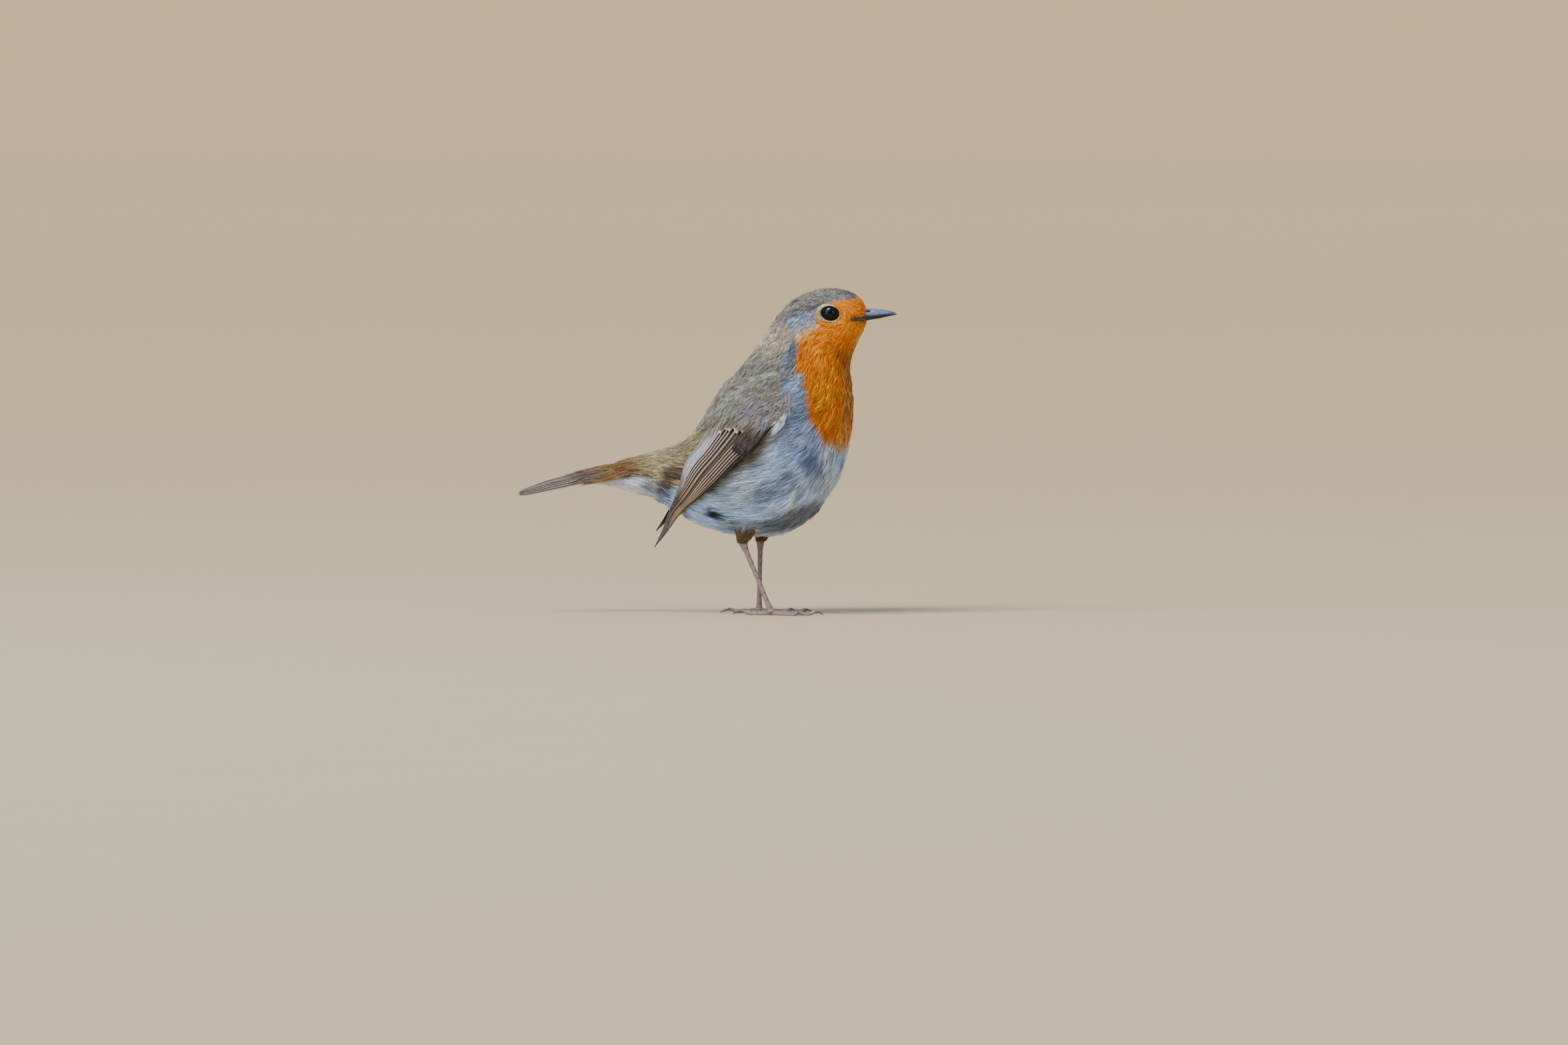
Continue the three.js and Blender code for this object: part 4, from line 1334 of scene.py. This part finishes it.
def makeBall(label, side, centre, cornea):
    # eyeball, with its pole to the outside
    a, b = np.meshgrid(np.linspace(0.02, math.pi - 0.02, 48), turns(72), indexing="ij")
    out = np.cos(a)
    bulge = 1 + 0.03 * ease(0.75, 0.95, out)
    ball = np.stack([np.sin(a) * np.cos(b), side * out, np.sin(a) * np.sin(b)], -1) * eye["radius"]
    points, faces = capped(ball * bulge[..., None] + centre)
    tint = endsToo(mix(linear("#020202"), linear("#0a0603"), ease(0.86, 0.84, out)[..., None]))
    uv = mapEnds(np.stack([a / math.pi, b / (2 * math.pi)], -1).reshape(-1, 2))
    addPiece(f"eyeball_{label}", points, triangles(faces), cornea, uv, tint, True, (f"eye_{label}",))


def makeLid(label, side, centre, lidSkin):
    # bare lid edge, a thin dark ring that lies on the ball
    rows, sides = 90, 10
    angle, section = turns(rows), turns(sides)
    lidX, lidZ = ellipseAt(1.06, angle)
    path = np.stack([lidX, side * (eyeballY(lidX, lidZ) + 0.02), lidZ], -1)
    outward = path - centre
    outward /= np.linalg.norm(outward, axis=1, keepdims=True)
    flat = path - centre
    flat[:, 1] = 0
    flat /= np.linalg.norm(flat, axis=1, keepdims=True)
    bead = (0.21 + 0.05 * ease(0.2, -0.9, np.cos(angle)) + 0.015 * np.sin(angle * 37))[:, None]
    rings = (
        path[:, None]
        + outward[:, None] * (np.cos(section)[None, :] * bead)[..., None]
        + flat[:, None] * (np.sin(section)[None, :] * bead * 1.2)[..., None]
    )
    faces = ringFaces(rows + 1, sides) % (rows * sides)
    pale = ease(-0.35, 0.05, np.sin(section))[None, :, None] * np.ones((rows, 1, 1))
    tint = mix(linear("#15110f"), colours["eyeRing"] * 0.95, pale).reshape(-1, 3)
    uv = ringMap(rows, sides)
    addPiece(f"eyelid_{label}", rings.reshape(-1, 3), faces, lidSkin, uv, tint, True)


def makeEyes(cornea, lidSkin, downy):
    for label, side in wingSides.items():
        centre = np.array([eye["x"], side * eye["centreY"], eye["z"]])
        makeBall(label, side, centre, cornea)
        makeLid(label, side, centre, lidSkin)
        # ring of tiny feathers that radiate from the lid
        cup = Sheet(eyeCup(side), (1.0, 1.9), (-0.2, 2 * math.pi + 0.2), (40, 160), side)
        rows = []
        for reach, many in eyeRows:
            place = (np.arange(many) + random.random(many) * 0.7) / many * 2 * math.pi
            rows.append(np.stack([np.full(many, reach), place]))
        u, v = np.concatenate(rows, 1)
        count = len(u)
        sweep = 1.1 * np.sin(v) * ease(1.05, 1.5, u)
        feathers = featherSet(
            u=u,
            v=v,
            length=mix(0.42, 1.25, ease(1.02, 1.5, u)) * random.uniform(0.8, 1.2, count),
            yaw=sweep + random.normal(0, 0.12, count),
            low=-0.15,
            high=random.normal(0.12, 0.04, count),
            tone=random.normal(0, 0.06, count),
            streak=0.08,
            slender=0.36,
        )

        def ringColour(u, v, cup=cup):
            points = cup.sample(u, v)[0]
            share = ease(101, 90, points[..., 2])
            colour = plumageColour(points, share * 0.5)
            wide = 1.06 + 0.3 * ease(0.0, -0.95, np.cos(v)) + 0.05 * ease(0.2, -0.8, np.sin(v))
            return mix(colour, colours["eyeRing"], (ease(wide + 0.1, wide, u) * 0.97)[..., None])

        batch = combFeathers(cup, feathers, 6, ringColour, None, (34, 14), 0.06)
        featherPiece(f"eyeRing_{label}", [batch], downy)


# x, culmen z, mouth z, lower z, half width
billStations = [
    [47.6, 98.2, 96.8, 95.9, 2.3],
    [49.8, 99.4, 97.0, 95.5, 2.5],
    [52.0, 99.75, 97.3, 95.7, 2.1],
    [54.1, 99.75, 97.55, 96.15, 1.7],
    [56.3, 99.65, 97.8, 96.5, 1.35],
    [58.5, 99.4, 98.0, 97.0, 0.95],
    [60.7, 98.9, 98.1, 97.5, 0.55],
    [62.4, 98.1, 97.95, 97.85, 0.1],
]
bill = {
    "gap": 0.025,
    # upper and upperSideReflection: painted reflection of the blue sky over the upper mandible's dark horn
    "upper": "#5a6a88",
    "upperSideReflection": "#64759a",
    "lower": "#0f0e11",
    "edge": "#3a3840",
    "nostril": "#0c0b0b",
}


def makeBill(horn):
    rings, sides = 110, 48
    s = np.linspace(0, len(billStations) - 1, rings)
    x, culmen, mouth, lower, halfWidth = (column(billStations, k, s)[:, None] for k in range(5))
    angle = np.linspace(0, math.pi, sides)[None, :]
    for label, far, sign in (("upper", culmen, 1), ("lower", lower, -1)):
        start = mouth + sign * bill["gap"]
        deep = np.abs(far - mouth) - bill["gap"]
        across = np.cos(angle)
        y = halfWidth * np.sign(across) * np.abs(across) ** 0.85 * (1 - 0.1 * np.sin(angle) ** 2)
        z = start + sign * deep * np.sin(angle) ** (0.9 if sign > 0 else 0.75)
        px = x + 0 * y
        rise = np.sin(angle)
        # nostril, a slit in a shallow pit on each side
        pit = np.exp(-(((px - 52.9) / 1.25) ** 2) - ((rise - 0.62) / 0.2) ** 2)
        pit = pit * (sign > 0) * ease(0.1, 0.4, np.abs(across))
        slit = np.exp(-(((px - 53.1) / 0.75) ** 4) - ((rise - 0.6) / 0.1) ** 4)
        slit = slit * (sign > 0) * ease(0.1, 0.3, np.abs(across))
        y = y - np.sign(y) * (0.3 * pit + 0.35 * slit)
        # a faint groove along the jaw's side
        groove = np.exp(-(((rise - 0.35) / 0.08) ** 2)) * ease(61, 56, px)
        y = y - np.sign(y) * 0.06 * groove
        # painted reflection of the sky: blue-grey over the upper mandible, bluer on its sides
        colour = mix(linear(bill["upperSideReflection"]), linear(bill["upper"]), ease(0.3, 0.9, rise)[..., None])
        if sign < 0:
            colour = np.broadcast_to(linear(bill["lower"]), colour.shape)
        colour = mix(colour, linear(bill["edge"]), (ease(0.2, 0.02, rise) * 0.6)[..., None])
        # painted shade: the nostril's slit and, less, its shallow pit are darkened
        colour = mix(colour, linear(bill["nostril"]), np.clip(slit + 0.35 * pit, 0, 1)[..., None])
        colour = mix(colour, linear("#1b1a1c"), (ease(58.5, 61.5, px) * 0.6)[..., None])
        floorZ = start + 0 * y[:, 1:-1]
        back = np.stack([px[:, 1:-1][:, ::2], (y * 0.92)[:, 1:-1][:, ::-1][:, ::2], floorZ[:, ::2]], -1)
        shell = np.concatenate([np.stack([px, y, z], -1), back], 1)
        tint = np.concatenate([colour, colour[:, :1] * np.ones((1, back.shape[1], 1))], 1)
        points, faces = capped(shell)
        uv = mapEnds(ringMap(*shell.shape[:2]))
        node = f"bill_{label}"
        addPiece(f"{node}_horn", points, triangles(faces), horn, uv, endsToo(tint), True, (node,))


def makeGape(horn):
    # the bill's bare base: on each side a wedge of skin that runs back to the corner of the mouth
    f, g = np.meshgrid(np.linspace(0, 1, 36), np.linspace(0, 1, 25), indexing="ij")
    x = mix(gape["cornerX"] - 0.3, gape["front"], f)
    reach = (x - gape["cornerX"] + 0.3) / (gape["front"] - gape["cornerX"])
    top = gape["cornerZ"] + 0.06 + gape["up"] * 5 * reach**1.15
    bottom = gape["cornerZ"] - 0.06 - gape["down"] * ease(0, 0.6, reach)
    s = np.interp(x, [row[0] for row in billStations], np.arange(len(billStations)))
    culmen, mouth, lower, halfWidth = (column(billStations, k, s) for k in range(1, 5))
    z = mix(np.maximum(bottom, lower + 0.12), np.minimum(top, culmen - 0.1), g)
    rise = np.where(z > mouth, (z - mouth) / (culmen - mouth), (mouth - z) / (mouth - lower))
    rise = np.clip(rise, 0, 1)
    line = mix(gape["cornerZ"], mouth, ease(0, 1, f))
    groove = np.exp(-(((z - line) / 0.12) ** 2))
    atBill = halfWidth * (1 - rise**2.2) ** 0.42 + mix(0.06, -0.12, ease(0.8, 1, f))
    y = mix(plumageWidth(x, z) - 0.2, atBill, ease(0.25, 0.95, f))
    y = y - 0.22 * groove * ease(0, 0.2, f) - 0.3 * (2 * g - 1) ** 4
    colour = mix(linear(gape["lowerLip"]), linear(gape["upperLip"]), ease(-0.1, 0.1, z - line)[..., None])
    # the mouth line, near black, is painted shade in the crease between the lips
    colour = mix(colour, linear("#141316"), (0.9 * groove)[..., None])
    colour = mix(colour, linear("#5c3b1a"), (0.8 * ease(0.5, 0.0, f))[..., None])
    for side, label in ((-1, "right"), (1, "left")):
        outer = np.stack([x, side * y, z], -1)
        inner = np.stack([x, side * (y - 0.7), mix(z, 97.0, 0.1)], -1)
        rings = np.concatenate([outer, inner[:, ::-1]], 1)
        points, faces = capped(rings)
        faces = triangles(faces if side > 0 else faces[:, ::-1])
        tint = endsToo(np.concatenate([colour, colour[:, ::-1]], 1))
        uv = mapEnds(ringMap(*rings.shape[:2]))
        addPiece(f"gapeSkin_{label}", points, faces, horn, uv, tint, True)


bristles = {
    # how many a side, root, spread of the roots, direction, length, width and colour
    "gape": (9, (49.6, 2.75, 96.9), (1.5, 0.25, 0.9), (0.75, 0.45, -0.5), 3.4, 0.05, "#17120f"),
    "nostril": (12, (51.2, 1.4, 98.9), (0.7, 0.5, 0.7), (0.85, 0.25, 0.25), 1.7, 0.05, "#c9a05e"),
}


def makeBristles(material):
    # stiff bristles round the gape and at the base of the bill, each a thin three-sided spike
    parts = []
    for many, root, spread, direction, size, width, colour in bristles.values():
        for side in (-1, 1):
            for _ in range(many):
                start = np.array(root) + np.array(spread) * random.uniform(-1, 1, 3)
                ahead = np.array(direction) + random.normal(0, 0.16, 3)
                ahead /= np.linalg.norm(ahead)
                f = np.linspace(0, 1, 7)
                span = size * random.uniform(0.7, 1.15)
                droop = np.array([0.1, 0, -0.35]) * (f**2 * span * 0.35)[:, None]
                path = start + ahead * (span * f)[:, None] + droop
                rings = tube(path, width * (1.02 - f), 3, (0, 0, 1))
                rings[..., 1] *= side
                points, faces = capped(rings)
                uv = np.stack([points[:, 0] / 60, points[:, 2] / 110], -1)
                tint = np.broadcast_to(linear(colour), points.shape)
                parts.append((points, triangles(faces), uv, tint))
    points, faces, uv, tint = joined(parts)
    addPiece("bristles", points, faces, material, uv, tint)


# ankle, hub (where tarsus and toes meet), heading in degrees and skin colour
legs = {
    "right": ((12.4, -6.6, 24.0), (22.2, -8.2, 1.1), -4.0, "#8d7468"),
    "left": ((16.5, 6.8, 24.2), (16.0, 7.6, 1.1), 6.0, "#7f6a5f"),
}
foot = {
    "groove": "#3d2f29",
    "pad": "#a08a72",
    "claw": "#4b4440",
    # name, degrees from straight ahead, length, root and tip radius, claw length
    "toes": [
        ("middle", 2, 13.2, 0.92, 0.62, 4.2),
        ("inner", -27, 9.2, 0.85, 0.6, 3.4),
        ("outer", 26, 9.8, 0.85, 0.6, 3.4),
        ("hind", 178, 7.4, 0.95, 0.7, 5.2),
    ],
    "padPress": 0.8,
    # along the tarsus, from inside the thigh's feathers to the foot
    "legShare": [-0.12, 0.0, 0.06, 0.16, 0.5, 0.86, 1.0],
    "legRadius": [1.2, 1.36, 1.22, 0.86, 0.72, 0.8, 1.1],
    # along a claw: height of its middle line, and how much a longer claw adds
    "clawShare": [-0.12, 0.0, 0.25, 0.45, 0.65, 0.8, 0.93, 1.0],
    "clawHeight": [0.7, 0.75, 0.98, 0.82, 0.8, 0.7, 0.42, 0.2],
    "clawArch": [0, 0, 2, 5.5, 3, 0, 0, 0],
}


def tube(path, radii, sides, up, shape=1.0):
    # rings round a path; up gives the side where angle 0 lies, and shape a factor for each ring and side
    tangent = np.gradient(path, axis=0)
    tangent /= np.linalg.norm(tangent, axis=1, keepdims=True)
    across = np.cross(tangent, np.broadcast_to(np.array(up, dtype=float), tangent.shape))
    across /= np.linalg.norm(across, axis=1, keepdims=True)
    rise = np.cross(across, tangent)
    angle = turns(sides)
    reach = radii[:, None] * shape
    ring = rise[:, None] * np.cos(angle)[None, :, None] + across[:, None] * np.sin(angle)[None, :, None]
    return path[:, None] + ring * reach[..., None]


def scutes(position, pitch, depth):
    # a saw-tooth profile: each plate swells and ends in a sharp groove
    phase = (position / pitch) % 1.0
    return 1 + depth * (ease(0, 0.75, phase) * ease(1.0, 0.86, phase) - 0.55)


def joinTubes(name, tubes, material, replaces):
    parts = []
    for k, (rings, colour) in enumerate(tubes):
        points, faces = capped(rings)
        count, sides = rings.shape[:2]
        strip = (k + 0.05 + 0.9 * np.tile(np.arange(sides) / sides, count)) / len(tubes)
        uv = mapEnds(np.stack([strip, np.repeat(np.linspace(0.01, 0.99, count), sides)], -1))
        parts.append((points, triangles(faces), uv, endsToo(colour)))
    points, faces, uv, tint = joined(parts)
    addPiece(name, points, faces, material, uv, tint, True, replaces)


def makeTarsus(ankle, hub, skinColour):
    # from inside the feathers of the thigh to the foot: plates in front, small scales behind
    f = np.linspace(-0.12, 1, 150)
    path = ankle + (hub - ankle) * f[:, None]
    size = float(np.linalg.norm(hub - ankle))
    angle = turns(36)
    plate = scutes(f * size, 2.6, 0.07)[:, None]
    small = scutes(f[:, None] * size + 0.5 * angle[None, :], 0.8, 0.05)
    relief = mix(small, plate, ease(-0.3, 0.3, np.cos(angle))[None, :])
    shape = relief * mix(0.92, 1.0, np.abs(np.cos(angle)))[None, :]
    rings = tube(path, np.interp(f, foot["legShare"], foot["legRadius"]), 36, (1, 0, 0.3), shape)
    groove = np.clip((0.99 - relief) * 22, 0, 1)
    colour = mix(skinColour, linear(foot["groove"]), (groove * 0.8)[..., None])
    # darker towards the top, where the tarsus goes into the thigh's feathers
    darkerAtTop = ease(0.12, -0.02, f)[:, None, None] * 0.45
    return rings, mix(colour, linear("#5a4335"), darkerAtTop)


def makePad(hub, skinColour):
    # pad under the joint of the toes
    f = np.linspace(0.03, 0.97, 24)
    path = hub + np.array([0, 0, 0.1]) + np.stack([0 * f, 0 * f, 2.3 * (f - 0.5)], -1)
    rings = tube(path, 1.55 * np.sin(math.pi * f) ** 0.7, 30, (1, 0, 0))
    rings[..., 2] = np.maximum(rings[..., 2], 0.03)
    return rings, np.broadcast_to(skinColour, rings.shape) * 0.9


def makeToe(start, ahead, length, rootRadius, tipRadius, skinColour):
    f = np.linspace(0.0, 1, int(length * 9))
    radius = mix(rootRadius, tipRadius, f)
    joints = 1 + 0.1 * np.cos(f * 6 * math.pi) - 0.25 * ease(0.93, 1, f)
    path = start + ahead * (length * f)[:, None]
    path[:, 2] = foot["padPress"] * radius + 0.25 * np.exp(-f * 12)
    angle = turns(28)
    top = ease(-0.1, 0.5, np.cos(angle))[None, :]
    plate = scutes(f * length, 1.05, 0.16)[:, None]
    bumps = 1 + 0.05 * np.cos(f[:, None] * length * 7) * np.cos(angle * 5)[None, :]
    rings = tube(path, radius * joints, 28, (0, 0, 1), mix(bumps, plate, top))
    rings[..., 2] = np.maximum(rings[..., 2], 0.0)
    groove = np.clip((1.0 - plate) * 7, 0, 1) * top
    colour = mix(linear(foot["pad"]), skinColour, top[..., None])
    return rings, mix(colour * 0.9, linear(foot["groove"]), (groove * 0.85)[..., None])


def makeClaw(start, ahead, length, clawLength, tipRadius):
    f = np.linspace(-0.12, 1, 46)
    path = start + ahead * (length + 0.3 + clawLength * f)[:, None]
    height = np.array(foot["clawHeight"]) + 0.02 * clawLength * np.array(foot["clawArch"]) * 0.9
    path[:, 2] = np.interp(f, foot["clawShare"], height)
    radii = np.interp(f, [-0.12, 0, 0.5, 0.85, 1.0], np.array([0.8, 0.8, 0.5, 0.26, 0.07]) * tipRadius)
    rings = tube(path, radii, 18, (0, 0, 1), (1 + 0.15 * np.cos(2 * turns(18)))[None, :])
    rings[..., 2] = np.maximum(rings[..., 2], 0.02)
    shade = mix(linear(foot["claw"]), linear("#8a7c6c"), ease(0.5, 0, f)[:, None])
    return rings, np.broadcast_to(shade[:, None], rings.shape)


def makeLeg(label, skin, clawHorn):
    ankle, hub, legHeading, skinHex = legs[label]
    ankle, hub, skinColour = np.array(ankle), np.array(hub), linear(skinHex)
    tubes = [makeTarsus(ankle, hub, skinColour), makePad(hub, skinColour)]
    claws = []
    for _, degrees, length, rootRadius, tipRadius, clawLength in foot["toes"]:
        heading = math.radians(legHeading + wingSides[label] * degrees)
        ahead = np.array([math.cos(heading), math.sin(heading), 0])
        start = np.array([hub[0], hub[1], 0])
        tubes.append(makeToe(start, ahead, length, rootRadius, tipRadius, skinColour))
        claws.append(makeClaw(start, ahead, length, clawLength, tipRadius))
    toes = [row[0] for row in foot["toes"]]
    toeNodes = [f"tarsus_{label}"] + [f"toe_{toe}_{label}" for toe in toes]
    joinTubes(f"foot_{label}", tubes, skin, toeNodes)
    joinTubes(f"claws_{label}", claws, clawHorn, [f"claw_{toe}_{label}" for toe in toes])


def makeThigh(label, downy):
    # feathered thigh down to the ankle
    ankle = np.array(legs[label][0])
    top, end = ankle + (3.2, 0, 11), ankle + (0.1, 0, -0.6)

    def pointAt(f, turn):
        radius = mix(5.0, 1.2, np.clip(f, 0, 1) ** 1.4)
        x = mix(top[0], end[0], f) + radius * np.cos(turn) * 1.15
        y = mix(top[1], end[1], f) + radius * np.sin(turn)
        return np.stack([x, y, mix(top[2], end[2], f)], -1)

    sheet = Sheet(pointAt, (0, 1), (0, 2 * math.pi), (40, 60), -1)
    u = random.uniform(0, 0.97, 620)
    count = len(u)
    feathers = featherSet(
        u=u,
        v=random.uniform(0, 2 * math.pi, count),
        length=mix(4.6, 1.5, u) * random.uniform(0.7, 1.25, count),
        yaw=random.normal(0, 0.15, count),
        low=-0.4,
        high=random.normal(0.05, 0.12, count),
        tone=random.normal(0, 0.08, count),
        streak=0.1,
        slender=0.3,
    )

    def thighColour(u, v):
        shape = (*np.shape(u), 3)
        return mix(np.broadcast_to(colours["flank"], shape), colours["thigh"], ease(0.3, 0.6, u)[..., None])

    batch = combFeathers(sheet, feathers, 12, thighColour)
    featherPiece(f"thighFeathers_{label}", [batch], downy)


makeCamera()
makeStudio()
print("stage: camera, floor and lights")

softPlumage = makePlumage("downySoftFeather", 0.85, 0.06, 0.6, 0.12)
featherSkin = makePlumage("featheredSkin", 0.9, 0.0, 1.5, 0.2)
makeSkin(featherSkin)
print("stage: skin")
makeCoat(softPlumage)
makeLooseDown(softPlumage)
print("stage: coat")
stiffPlumage = makePlumage("stiffFeatherVane", 0.6, 0.1, 0.35, 0.08)
for label in wingSides:
    makeWing(label, stiffPlumage, softPlumage, featherSkin)
print("stage: wings")
makeTail(stiffPlumage, softPlumage)
print("stage: tail")
legSkin = makeLegSkin()
makeEyes(makeCornea(), legSkin, softPlumage)
beakHorn = makeHorn("beakKeratin", 0.36, 0.8, 0.12)
makeBill(beakHorn)
makeGape(beakHorn)
makeBristles(beakHorn)
print("stage: eyes and bill")
clawHorn = makeHorn("clawKeratin", 0.35, 0.5, 0.3)
for label in legs:
    makeLeg(label, legSkin, clawHorn)
    makeThigh(label, softPlumage)
print("stage: legs")
